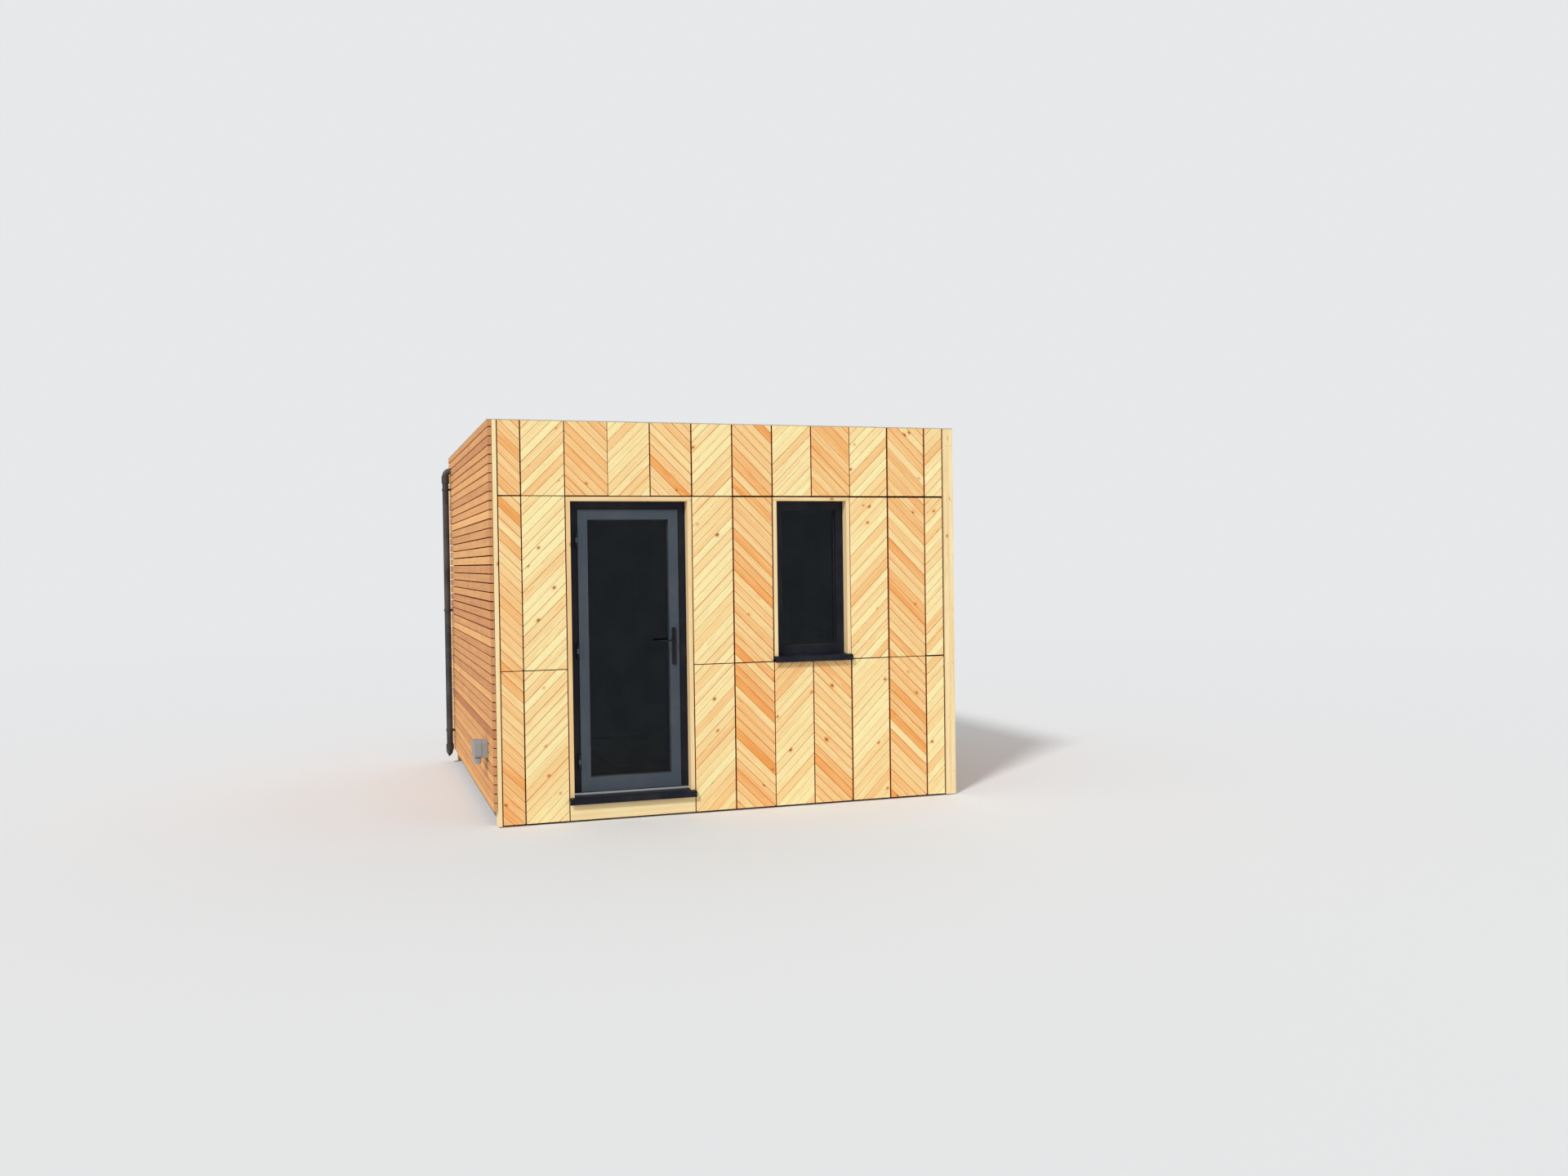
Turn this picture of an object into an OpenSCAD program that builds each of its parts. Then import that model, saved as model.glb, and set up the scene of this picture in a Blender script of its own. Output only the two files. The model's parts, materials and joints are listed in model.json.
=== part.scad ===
// Garden office pod: a flat-roofed timber box on bearers, clad in chevron panels at the front
// and in horizontal slats on the other sides, with a glazed door and a tall narrow window.
// Millimetres. X runs along the front from left to right, Y from front to back, Z up.
// The origin is on the ground, below the middle of the timber-framed box.

/* [Box] */
// Width of the timber-framed box, without its cladding
box_w = 3000; // [2600:10:3600]
// Depth of the timber-framed box, without its cladding
box_d = 3000; // [2400:10:3600]
// Height from the ground to the top of the edge capping
total_h = 2500; // [2300:5:2900]
// Thickness of the insulated walls
wall_t = 120; // [100:5:180]

/* [Base and floor] */
// Height of the bearers
bearer_h = 50; // [40:5:100]
// Width of each bearer
bearer_w = 75; // [50:5:100]
// Number of bearers, an odd number
bearer_count = 9; // [7:2:11]
// How far the bearers' ends stay behind the edge of the floor
bearer_inset = 10; // [0:5:60]
// Thickness of the insulated floor cassette
floor_cassette_t = 77; // [60:1:110]
// Thickness of the floor deck
floor_deck_t = 18; // [15:1:28]

/* [Roof] */
// Thickness of the ceiling lining
ceiling_t = 12; // [9:1:18]
// Thickness of the roof cassette at its low, rear edge
roof_t = 110; // [90:5:125]
// Rise of the roof's surface from the rear to the front
roof_fall = 40; // [20:5:60]
// Width of the kerb round the roof
kerb_w = 45; // [38:1:60]
// Height of the kerb above the roof cassette's low, rear edge
kerb_h = 144; // [100:1:200]
// Thickness of the roof membrane
membrane_t = 2; // [1.5:0.5:4]
// Thickness of the edge capping
capping_t = 6; // [3:1:15]

/* [Front panels] */
// Width of a full panel
panel_w = 261; // [250:1:280]
// Width of the open joint between two panels
joint_w = 9; // [6:1:12]
// Thickness of the panels' boards
panel_t = 20; // [16:1:25]
// Thickness of the battens behind the panels
panel_batten_t = 25; // [19:1:38]
// Height of the joint between the lower and the middle row of panels
lower_joint_z = 956; // [800:1:1000]
// Height of the upper row of panels, above the door and the window
upper_row_h = 462; // [420:1:500]
// Clearance between the front cladding and the ground
panel_ground_gap = 12; // [8:1:30]

/* [Slatted sides] */
// Thickness of the slats
slat_t = 28; // [20:1:34]
// Thickness of the battens behind the slats
side_batten_t = 26; // [19:1:38]
// Height of the slats' lower edge
slat_bottom_z = 101; // [60:1:140]
// Largest distance between two side battens
side_batten_spacing = 600; // [400:10:650]
// Width of a batten
batten_w = 45; // [38:1:50]

/* [Corner trims] */
// How far a corner trim reaches round the wall's corner
trim_reach = 50; // [30:5:90]
// Width of the right front trim
right_trim_w = 41; // [36:1:60]
// Thickness of the cover strip on the slat ends at the right front corner
cover_t = 20; // [12:1:25]
// How far the cover strip stands proud of the slats
cover_proud = 2; // [1:1:6]
// Clearance between the trims and the ground
trim_ground_gap = 6; // [4:1:20]

/* [Door] */
// Number of the panel joint at the door's left side
door_joint = 2; // [1:1:2]
// Number of panel strips that the door takes up
door_strips = 3; // [3:1:4]
// Thickness of the door's timber reveal lining
door_lining_t = 27; // [25:1:45]
// How far the door frame sits back from the panels' face
door_recess = 65; // [25:1:72]
// Width of the door frame's members
door_frame_w = 64; // [50:1:70]
// Depth of the door frame's members
door_frame_d = 70; // [66:1:90]
// How far the leaf stands proud of the frame
leaf_proud = 12; // [12:1:16]
// Thickness of the leaf's outer lip
leaf_lip_t = 7; // [5:1:7]
// How far the leaf's lip laps over the frame
leaf_lap = 12; // [12:1:16]
// Thickness of the whole leaf
leaf_t = 64; // [60:1:70]
// Visible width of the leaf's stiles and top rail
stile_w = 62; // [62:1:90]
// Height of the leaf's bottom rail
bottom_rail_h = 90; // [70:1:160]
// Running gap round the leaf
leaf_gap = 5; // [5:0.5:7]
// Extra gap at the latch side, where the leaf's inner corner swings past the jamb
latch_gap_extra = 4; // [4:0.5:6]
// Height of the threshold
threshold_h = 14; // [10:1:20]

/* [Door furniture] */
// Radius of the hinge pins
hinge_pin_r = 5; // [4:0.5:6]
// Radius of the hinge knuckles
knuckle_r = 8; // [7.5:0.5:8.5]
// Height of one hinge knuckle
knuckle_h = 30; // [24:1:36]
// Clearance between a pin and the knuckle that turns on it
pin_clearance = 0.05; // [0.03:0.01:0.1]
// Distance from the leaf's top and bottom to the nearest hinge's middle
hinge_inset = 190; // [150:5:260]
// Height of the lever handle's spindle above the ground
handle_z = 1115; // [1000:5:1200]
// Distance from the leaf's edge to the spindle
backset = 35; // [35:1:42]
// Length of the lever, from the spindle to its tip
lever_len = 115; // [95:1:130]
// Radius of the lever's bar
lever_r = 6; // [5:0.5:8]
// Distance from the handle plate's face to the middle of the lever's bar
lever_reach = 38; // [32:1:42]
// Thickness of the handle plates
plate_t = 9; // [6:1:10]
// Distance from the spindle down to the lock cylinder
cylinder_drop = 72; // [50:1:110]

/* [Window] */
// Number of the panel joint at the window's left side
window_joint = 7; // [7:1:8]
// Number of panel strips that the window takes up
window_strips = 2; // [1:1:2]
// Thickness of the window's timber reveal lining
window_lining_t = 23; // [22:1:40]
// How far the window frame sits back from the panels' face
window_recess = 66; // [25:1:75]
// Visible width of the window frame's members
window_frame_w = 55; // [45:1:65]
// Depth of the window frame's members
window_frame_d = 70; // [60:1:90]
// Height of the window frame's lower edge above the lower panel joint
window_rise = 40; // [36:1:60]

/* [Glazing] */
// Thickness of the double-glazed units
glass_t = 24; // [20:1:28]
// How far the glass reaches behind the frame's lip
glass_cover = 14; // [10:1:15]
// Clearance round the edge of the glass
glass_gap = 3; // [2:1:5]
// Depth of the frames' outer lip in front of the glass
glazing_lip = 26; // [12:1:30]

/* [Sills] */
// How far the sills stand proud of the panels
sill_proud = 32; // [20:1:45]
// Thickness of the sills where the frames stand on them
sill_t = 13; // [10:1:20]
// Height of the sills' front nose
sill_nose_h = 38; // [30:1:45]
// Fall of the sills' top towards the nose
sill_fall = 8; // [5:1:12]
// Thickness of the sills' nose
sill_nose_t = 9; // [6:1:14]

/* [Rainwater] */
// Outer radius of the downpipe
pipe_r = 25; // [20:1:34]
// Wall of the downpipe
pipe_wall = 2; // [1.5:0.5:3]
// Distance from the slats to the downpipe's middle
pipe_standoff = 40; // [38:1:60]
// Distance from the rear face to the downpipe's middle
pipe_from_back = 190; // [170:5:400]
// Length of the socket under the outlet's bend
socket_len = 60; // [40:5:90]
// Number of pipe clips
clip_count = 3; // [2:1:5]
// Distance from the pipe's shoe up to the lowest clip
clip_from_shoe = 150; // [80:5:300]
// Distance from the outlet's socket down to the highest clip
clip_from_socket = 60; // [40:5:300]
// Height of the downpipe's mouth
shoe_z = 110; // [80:5:300]

/* [Socket outlet] */
// Width of the outdoor power outlet along the wall
outlet_w = 190; // [90:5:220]
// Height of its back box
outlet_h = 105; // [90:1:140]
// Depth of its back box
outlet_box_d = 40; // [30:1:60]
// Depth of its lid
outlet_lid_d = 44; // [30:1:60]
// How far the lid's skirt hangs below the back box
outlet_skirt = 35; // [20:1:50]
// Height of the back box's lower edge
outlet_z = 396; // [300:1:900]
// Distance from the panels' face to the outlet
outlet_y = 260; // [100:5:900]

/* [Hidden] */
$fn = 48;

// Small overlap used only where pieces of one solid meet
bite = 0.5;
// Length added to a cutter so that it runs past both faces
past = 5;
// Clearance of a seat that is neither a press fit nor a running fit
seat = 0.3;

// Levels
floor_z = bearer_h + floor_cassette_t + floor_deck_t;
clad_top = total_h - capping_t;
roof_low_z = clad_top - kerb_h;
wall_top = roof_low_z - roof_t;
upper_joint_z = clad_top - upper_row_h;

// Planes of the timber-framed box and of the cladding
half_w = box_w / 2;
half_d = box_d / 2;
front_y = -half_d - panel_batten_t - panel_t;
side_batten_x = half_w + side_batten_t;
side_x = side_batten_x + slat_t;
back_batten_y = half_d + side_batten_t;
back_y = back_batten_y + slat_t;
cover_x = side_x + cover_proud;

// Panel field between the two corner trims, to the middle of the joints beside them.
// An even number of full strips stands between two end strips of at least the least width.
field_left = -half_w + joint_w / 2;
field_right = side_batten_x - right_trim_w - joint_w / 2;
field_mid = (field_left + field_right) / 2;
strip_pitch = panel_w + joint_w;
least_end_strip = panel_w / 10;
full_strips = 2 * floor((field_right - field_left - 2 * least_end_strip) / strip_pitch / 2);
strip_count = full_strips + 2;

// Middle of panel joint k, counted from 0 beside the left trim
function joint_x(k) =
    k <= 0 ? field_left :
    k >= strip_count ? field_right :
    field_mid + (k - 1 - full_strips / 2) * strip_pitch;

// Door opening in the front wall, and the pieces inside it
door_x0 = joint_x(door_joint) + joint_w / 2;
door_x1 = joint_x(door_joint + door_strips) - joint_w / 2;
head_z = upper_joint_z - joint_w / 2;
door_frame_x0 = door_x0 + door_lining_t;
door_frame_x1 = door_x1 - door_lining_t;
door_frame_top = head_z - door_lining_t;
door_frame_y = front_y + door_recess;
door_sill_top = floor_z + sill_t;
threshold_top = door_sill_top + threshold_h;
threshold_y = door_frame_y - 6;

// Leaf: its lip, and its body inside the frame
jamb_x0 = door_frame_x0 + door_frame_w;
jamb_x1 = door_frame_x1 - door_frame_w;
leaf_y = door_frame_y - leaf_proud;
leaf_back = leaf_y + leaf_t;
lip_x0 = jamb_x0 - leaf_lap;
lip_x1 = jamb_x1 + leaf_lap;
lip_top = door_frame_top - door_frame_w + leaf_lap;
body_x0 = jamb_x0 + leaf_gap;
body_x1 = jamb_x1 - leaf_gap - latch_gap_extra;
body_top = door_frame_top - door_frame_w - leaf_gap;
leaf_bottom = threshold_top + leaf_gap;
light_x0 = lip_x0 + stile_w;
light_x1 = lip_x1 - stile_w;
light_z0 = leaf_bottom + bottom_rail_h;
light_z1 = lip_top - stile_w;
leaf_glass_y = leaf_y + glazing_lip;

// Hinge axis, in front of the gap beside the leaf
hinge_play = 1;
hinge_x = lip_x0 - knuckle_r - hinge_play;
hinge_y = leaf_y - knuckle_r / 2;
hinge_leaf_w = 24;
hinge_leaf_t = 3;
hinge_h = 3 * knuckle_h + 2 * hinge_play;
hinge_zs = [leaf_bottom + hinge_inset, (leaf_bottom + lip_top) / 2, lip_top - hinge_inset];

// Lever handle
spindle_x = lip_x1 - backset;
spindle_r = 4;
spindle_hole_r = 6;
neck_r = 8;
plate_w = 26;
plate_above = 69;
plate_below = 146;
plate_out_y = leaf_y - plate_t;
plate_in_y = leaf_back + plate_t;

// Window opening, and the pieces inside it
window_x0 = joint_x(window_joint) + joint_w / 2;
window_x1 = joint_x(window_joint + window_strips) - joint_w / 2;
window_frame_x0 = window_x0 + window_lining_t;
window_frame_x1 = window_x1 - window_lining_t;
window_frame_z0 = lower_joint_z + window_rise;
window_frame_z1 = head_z - window_lining_t;
window_y = front_y + window_recess;
window_glass_y = window_y + glazing_lip;
window_seat_z = window_frame_z0 - sill_t;

// Inner faces of the walls
inner_x = half_w - wall_t;
inner_front_y = -half_d + wall_t;

// Rainwater pieces
pipe_x = -side_x - pipe_standoff;
pipe_y = back_y - pipe_from_back;
socket_r = pipe_r + seat + 5;
outlet_lip = 3;
outlet_pipe_z = roof_low_z + membrane_t + outlet_lip + pipe_r;
bend_r = pipe_standoff;
socket_bottom = outlet_pipe_z - bend_r - socket_len;
collar_h = 6;

// Colours
timber = "burlywood";
slat_timber = "sandybrown";
frame_grey = "#3a4147";
sheathing = "#c9ad82";
plastic_grey = "#9a9fa3";
handle_black = "#26292c";

// Box between two corners
module block(low, high) {
    translate(low) cube(high - low);
}

// Upright rectangular ring seen from the front, between two Y planes.
// outer and inner are [x0, z0, x1, z1].
module ring_y(outer, inner, y0, y1) {
    translate([0, y1, 0]) rotate([90, 0, 0]) linear_extrude(y1 - y0) difference() {
        translate([outer[0], outer[1]]) square([outer[2] - outer[0], outer[3] - outer[1]]);
        translate([inner[0], inner[1]]) square([inner[2] - inner[0], inner[3] - inner[1]]);
    }
}

// Profile in the YZ plane, drawn as [y, z] points and run along X
module run_x(x0, x1, profile) {
    translate([x0, 0, 0]) rotate([90, 0, 90]) linear_extrude(x1 - x0) polygon(profile);
}

// Rectangle [x0, z0, x1, z1] made larger by d on all sides
function grow(r, d) = [r[0] - d, r[1] - d, r[2] + d, r[3] + d];

// Bearers laid from front to back on the ground
module base_bearers() {
    spacing = (box_w - bearer_w) / (bearer_count - 1);
    reach = half_d - bearer_inset;
    color("#8a6f4d") for (i = [0 : bearer_count - 1]) {
        x = -half_w + i * spacing;
        block([x, -reach, 0], [x + bearer_w, reach, bearer_h]);
    }
}

// Insulated floor cassette
module floor_cassette() {
    color(sheathing) block([-half_w, -half_d, bearer_h], [half_w, half_d, bearer_h + floor_cassette_t]);
}

// Floor deck, which the walls stand on
module floor_deck() {
    color("#b08d5e") block([-half_w, -half_d, bearer_h + floor_cassette_t], [half_w, half_d, floor_z]);
}

// Slab of the front wall between two X planes and two heights
module front_wall_slab(x0, x1, z0, z1) {
    color(sheathing) block([x0, -half_d, z0], [x1, inner_front_y, z1]);
}

module front_wall_left() {
    front_wall_slab(-half_w, door_x0, floor_z, wall_top);
}

module front_wall_over_door() {
    front_wall_slab(door_x0, door_x1, head_z, wall_top);
}

module front_wall_middle() {
    front_wall_slab(door_x1, window_x0, floor_z, wall_top);
}

// Parts of the front wall below and above the window
module front_wall_window_bay() {
    front_wall_slab(window_x0, window_x1, floor_z, window_seat_z);
    front_wall_slab(window_x0, window_x1, head_z, wall_top);
}

module front_wall_right() {
    front_wall_slab(window_x1, half_w, floor_z, wall_top);
}

// Side walls, between the front and the back wall
module left_wall() {
    color(sheathing) block([-half_w, inner_front_y, floor_z], [-inner_x, -inner_front_y, wall_top]);
}

module right_wall() {
    color(sheathing) block([inner_x, inner_front_y, floor_z], [half_w, -inner_front_y, wall_top]);
}

module back_wall() {
    color(sheathing) block([-half_w, -inner_front_y, floor_z], [half_w, half_d, wall_top]);
}

// Ceiling lining, fixed to the roof cassette between the walls
module ceiling() {
    color("white") block([-inner_x, inner_front_y, wall_top - ceiling_t],
                         [inner_x, -inner_front_y, wall_top]);
}

// Roof cassette: a flat slab under the kerb, with tapered firrings that drain it to the rear
module roof_cassette() {
    kerb_y = half_d - kerb_w;
    color(sheathing) {
        block([-half_w, -half_d, wall_top], [half_w, half_d, roof_low_z]);
        run_x(-half_w + kerb_w, half_w - kerb_w, [
            [-kerb_y, roof_low_z - bite], [kerb_y, roof_low_z - bite],
            [kerb_y, roof_low_z], [-kerb_y, roof_low_z + roof_fall]
        ]);
    }
}

// Cylinder along X, between two X planes
module rod_x(x0, x1, y, z, r) {
    translate([x0, y, z]) rotate([0, 90, 0]) cylinder(h = x1 - x0, r = r);
}

// Cylinder along Y, between two Y planes
module rod_y(x, y0, y1, z, r) {
    translate([x, y1, z]) rotate([90, 0, 0]) cylinder(h = y1 - y0, r = r);
}

// Hole for the rainwater outlet, through every layer of the left side
module outlet_hole() {
    rod_x(-side_x - past, -half_w + kerb_w + past, pipe_y, outlet_pipe_z, pipe_r + seat);
}

// Kerb round the roof, with a hole for the rainwater outlet
module roof_kerb() {
    color(sheathing) difference() {
        block([-half_w, -half_d, roof_low_z], [half_w, half_d, clad_top]);
        block([-half_w + kerb_w, -half_d + kerb_w, roof_low_z - past],
              [half_w - kerb_w, half_d - kerb_w, clad_top + past]);
        outlet_hole();
    }
}

// Roof membrane: the drained sheet and its upturn against the kerb
module roof_membrane() {
    edge_x = half_w - kerb_w;
    edge_y = half_d - kerb_w;
    color("#2b2d2f") difference() {
        run_x(-edge_x, edge_x, [
            [-edge_y, roof_low_z + roof_fall], [edge_y, roof_low_z], [edge_y, clad_top], [-edge_y, clad_top]
        ]);
        run_x(-edge_x + membrane_t, edge_x - membrane_t, [
            [-edge_y + membrane_t, roof_low_z + roof_fall + membrane_t],
            [edge_y - membrane_t, roof_low_z + membrane_t],
            [edge_y - membrane_t, clad_top + past], [-edge_y + membrane_t, clad_top + past]
        ]);
        outlet_hole();
    }
}

// Capping over the kerb and the cladding's upper edges
module edge_capping() {
    color("#b9b3a3") difference() {
        block([-side_x, front_y, clad_top], [cover_x, back_y, total_h]);
        block([-half_w + kerb_w, -half_d + kerb_w, clad_top - past],
              [half_w - kerb_w, half_d - kerb_w, total_h + past]);
    }
}

// Three rows of battens behind one row of panels, from x0 to x1
module batten_rows(x0, x1, z0, z1) {
    for (z = [z0, (z0 + z1 - batten_w) / 2, z1 - batten_w])
        block([x0, -half_d - panel_batten_t, z], [x1, -half_d, z + batten_w]);
}

// Battens of one slatted wall, standing side by side from a to b along the wall
module upright_battens(a, b) {
    gaps = ceil((b - a - batten_w) / side_batten_spacing);
    for (i = [0 : gaps]) {
        at = a + i * (b - a - batten_w) / gaps;
        translate([at, 0, slat_bottom_z]) cube([batten_w, side_batten_t, clad_top - slat_bottom_z]);
    }
}

// All battens: behind the panels they lie flat, behind the slats they stand upright
module battens() {
    right_end = field_right - joint_w / 2;
    left_end = field_left + joint_w / 2;
    top_row = upper_joint_z + joint_w / 2;
    middle_row = lower_joint_z + joint_w / 2;
    side_a = -half_d + trim_reach;
    color("#8f7350") {
        batten_rows(left_end, right_end, top_row, clad_top);
        batten_rows(left_end, door_x0 - joint_w, middle_row, head_z);
        batten_rows(door_x1 + joint_w, window_x0 - joint_w, middle_row, head_z);
        batten_rows(window_x1 + joint_w, right_end, middle_row, head_z);
        batten_rows(left_end, door_x0 - joint_w, panel_ground_gap + bearer_h, lower_joint_z - joint_w / 2);
        batten_rows(door_x1 + joint_w, right_end, panel_ground_gap + bearer_h, lower_joint_z - joint_w / 2);
        block([door_x0, -half_d - panel_batten_t, bearer_h],
              [door_x1, -half_d, bearer_h + batten_w]);
        difference() {
            translate([-half_w, 0, 0]) rotate([0, 0, 90]) upright_battens(side_a, half_d - trim_reach);
            outlet_hole();
        }
        translate([half_w, 0, 0]) mirror([1, 0, 0]) rotate([0, 0, 90])
            upright_battens(side_a, half_d - trim_reach);
        translate([0, half_d, 0]) upright_battens(-half_w + joint_w, half_w - joint_w);
    }
}

// Panel of strip i, between two heights
module panel(i, z0, z1) {
    color(timber) block([joint_x(i - 1) + joint_w / 2, front_y, z0],
                        [joint_x(i) - joint_w / 2, front_y + panel_t, z1]);
}

function in_door(i) = i > door_joint && i <= door_joint + door_strips;
function in_window(i) = i > window_joint && i <= window_joint + window_strips;

module front_panels_top() {
    for (i = [1 : strip_count]) panel(i, upper_joint_z + joint_w / 2, clad_top);
}

module front_panels_middle() {
    for (i = [1 : strip_count])
        if (!in_door(i) && !in_window(i)) panel(i, lower_joint_z + joint_w / 2, head_z);
}

module front_panels_bottom() {
    for (i = [1 : strip_count])
        if (!in_door(i)) panel(i, panel_ground_gap, lower_joint_z - joint_w / 2);
}

// Slatted cladding of the left side, whose slat ends show at the front, with the outlet's hole
module left_cladding() {
    color(slat_timber) difference() {
        block([-side_x, front_y, slat_bottom_z], [-side_batten_x, back_y, clad_top]);
        outlet_hole();
    }
}

// Slatted cladding of the right side, which ends behind the cover strip
module right_cladding() {
    color(slat_timber) block([side_batten_x, front_y + cover_t, slat_bottom_z], [side_x, back_y, clad_top]);
}

// Slatted cladding of the back, between the rear trims
module back_cladding() {
    color(slat_timber) block([-half_w + joint_w, back_batten_y, slat_bottom_z],
                             [half_w - joint_w, back_y, clad_top]);
}

// Upright trims at the front corners. The right one is rebated round the wall's corner.
module front_corner_trims() {
    color(timber) {
        block([-side_batten_x, front_y, trim_ground_gap], [-half_w, -half_d + trim_reach, clad_top]);
        block([side_batten_x - right_trim_w, front_y, trim_ground_gap], [side_batten_x, -half_d, clad_top]);
        block([half_w, -half_d - bite, trim_ground_gap], [side_batten_x, -half_d + trim_reach, clad_top]);
    }
}

// Strip that covers the slat ends at the right front corner
module right_corner_cover() {
    color(timber) block([side_batten_x, front_y, trim_ground_gap], [cover_x, front_y + cover_t, clad_top]);
}

// Upright trims at the rear corners
module back_corner_trims() {
    color(timber) for (side = [0, 1]) mirror([side, 0, 0])
        block([half_w, half_d - trim_reach, trim_ground_gap], [side_batten_x, back_y, clad_top]);
}

// Sill profile: a flat seat, a sloping top and a nose that hangs down as a drip.
// seat_z is where it rests, back is its rear end and frame_y is where the slope starts.
function sill_profile(seat_z, back, frame_y) =
    let (top = seat_z + sill_t, nose_y = front_y - sill_proud, nose_top = top - sill_fall)
    [
        [back, seat_z], [back, top], [frame_y, top],
        [nose_y, nose_top], [nose_y, nose_top - sill_nose_h], [nose_y + sill_nose_t, nose_top - sill_nose_h],
        [nose_y + sill_nose_t, seat_z - sill_fall], [-half_d, seat_z - sill_fall], [-half_d, seat_z]
    ];

// Sill between x0 and x1, whose nose runs on to the middle of the joints beside it
module sill(x0, x1, profile) {
    panel_clearance = 1;
    run_x(x0, x1, profile);
    intersection() {
        run_x(x0 - joint_w / 2, x1 + joint_w / 2, profile);
        block([x0 - joint_w, front_y - sill_proud - past, 0],
              [x1 + joint_w, front_y - panel_clearance, total_h]);
    }
}

door_sill_profile = sill_profile(floor_z, door_frame_y + door_frame_d, threshold_y);
window_sill_profile = sill_profile(window_seat_z, window_y + window_frame_d, window_y);

// Everything above a sill, as a cutter for what stands on it
module above_sill(x0, x1, seat_z, profile) {
    top = seat_z + sill_t;
    run_x(x0, x1, [
        profile[3], profile[2], profile[1], [profile[1][0], seat_z],
        [inner_front_y, seat_z], [inner_front_y, total_h], [profile[3][0], total_h]
    ]);
}

// Timber lining of the door opening: two jambs that stand on the sill, and a head
module door_lining() {
    color(timber) intersection() {
        ring_y([door_x0, 0, door_x1, head_z],
               [door_frame_x0, -past, door_frame_x1, head_z - door_lining_t], front_y, inner_front_y);
        above_sill(door_x0, door_x1, floor_z, door_sill_profile);
    }
}

// Door frame: two jambs and a head, standing on the threshold
module door_frame() {
    color(frame_grey) ring_y([door_frame_x0, threshold_top, door_frame_x1, door_frame_top],
                             [jamb_x0, threshold_top - past, jamb_x1, door_frame_top - door_frame_w],
                             door_frame_y, door_frame_y + door_frame_d);
}

// Threshold with a low upstand behind the leaf
module door_threshold() {
    back = door_frame_y + door_frame_d;
    upstand_y = leaf_back + leaf_gap;
    upstand_h = 12;
    color("#c3c7c9") {
        block([door_frame_x0, threshold_y, door_sill_top], [door_frame_x1, back, threshold_top]);
        block([jamb_x0, upstand_y, threshold_top - bite], [jamb_x1, back, threshold_top + upstand_h]);
    }
}

module door_sill() {
    color(frame_grey) sill(door_x0, door_x1, door_sill_profile);
}

// Timber board between the door sill and the ground
module door_plinth() {
    sill_gap = 2;
    color(timber) block([door_x0, front_y, panel_ground_gap],
                        [door_x1, front_y + panel_t, floor_z - sill_fall - sill_gap]);
}

// Door leaf: outer lip, body, daylight opening and glazing rebate, bored for the handle's spindle
module door_leaf() {
    light = [light_x0, light_z0, light_x1, light_z1];
    color(frame_grey) difference() {
        union() {
            block([lip_x0, leaf_y, leaf_bottom], [lip_x1, leaf_y + leaf_lip_t, lip_top]);
            block([body_x0, leaf_y + leaf_lip_t - bite, leaf_bottom], [body_x1, leaf_back, body_top]);
        }
        block([light[0], leaf_y - past, light[1]], [light[2], leaf_back + past, light[3]]);
        block([light[0] - glass_cover, leaf_glass_y, light[1] - glass_cover],
              [light[2] + glass_cover, leaf_back + past, light[3] + glass_cover]);
        rod_y(spindle_x, leaf_y - past, leaf_back + past, handle_z, spindle_hole_r);
    }
}

// Double-glazed unit that stands in a rebate
module glass_unit(light, y) {
    pane = grow(light, glass_cover - glass_gap);
    color([0.6, 0.75, 0.8, 0.4]) block([pane[0], y, pane[1]], [pane[2], y + glass_t, pane[3]]);
}

module door_glass() {
    glass_unit([light_x0, light_z0, light_x1, light_z1], leaf_glass_y);
}

// Bead that holds the glass from the inside
module door_bead() {
    light = [light_x0, light_z0, light_x1, light_z1];
    color(frame_grey) ring_y(grow(light, glass_cover), light, leaf_glass_y + glass_t, leaf_back);
}

// Hinge halves on the frame: plate, two outer knuckles and the pin
module hinge_frame_halves() {
    color(frame_grey) for (z = hinge_zs) translate([hinge_x, hinge_y, z - hinge_h / 2]) {
        plate_y = door_frame_y - hinge_leaf_t - hinge_y;
        block([-hinge_leaf_w, plate_y, 0], [0, plate_y + hinge_leaf_t, hinge_h]);
        cylinder(h = hinge_h, r = hinge_pin_r);
        for (low = [0, hinge_h - knuckle_h]) {
            translate([0, 0, low]) cylinder(h = knuckle_h, r = knuckle_r);
            block([-knuckle_r, 0, low], [0, plate_y + bite, low + knuckle_h]);
        }
    }
}

// Hinge halves on the leaf: plate and the middle knuckle, bored for the pin
module hinge_leaf_halves() {
    color(frame_grey) for (z = hinge_zs) translate([hinge_x, hinge_y, z - hinge_h / 2]) {
        face = leaf_y - hinge_y;
        edge = lip_x0 - hinge_x;
        low = knuckle_h + hinge_play;
        difference() {
            union() {
                block([edge, face - hinge_leaf_t, 0], [edge + hinge_leaf_w, face, hinge_h]);
                translate([0, 0, low]) cylinder(h = knuckle_h, r = knuckle_r);
                block([0, face - knuckle_r, low], [edge + bite, face, low + knuckle_h]);
            }
            translate([0, 0, -past]) cylinder(h = hinge_h + 2 * past, r = hinge_pin_r + pin_clearance);
        }
    }
}

// Handle plate with round ends, its bore for the lever's neck and the lock cylinder's end
module handle_plate(y0, y1, cylinder_y0, cylinder_y1) {
    difference() {
        union() {
            block([spindle_x - plate_w / 2, y0, handle_z - plate_below],
                  [spindle_x + plate_w / 2, y1, handle_z + plate_above]);
            rod_y(spindle_x, y0, y1, handle_z - plate_below, plate_w / 2);
            rod_y(spindle_x, y0, y1, handle_z + plate_above, plate_w / 2);
            rod_y(spindle_x, cylinder_y0, cylinder_y1, handle_z - cylinder_drop, neck_r);
        }
        rod_y(spindle_x, y0 - past, y1 + past, handle_z, neck_r + seat);
    }
}

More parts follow.
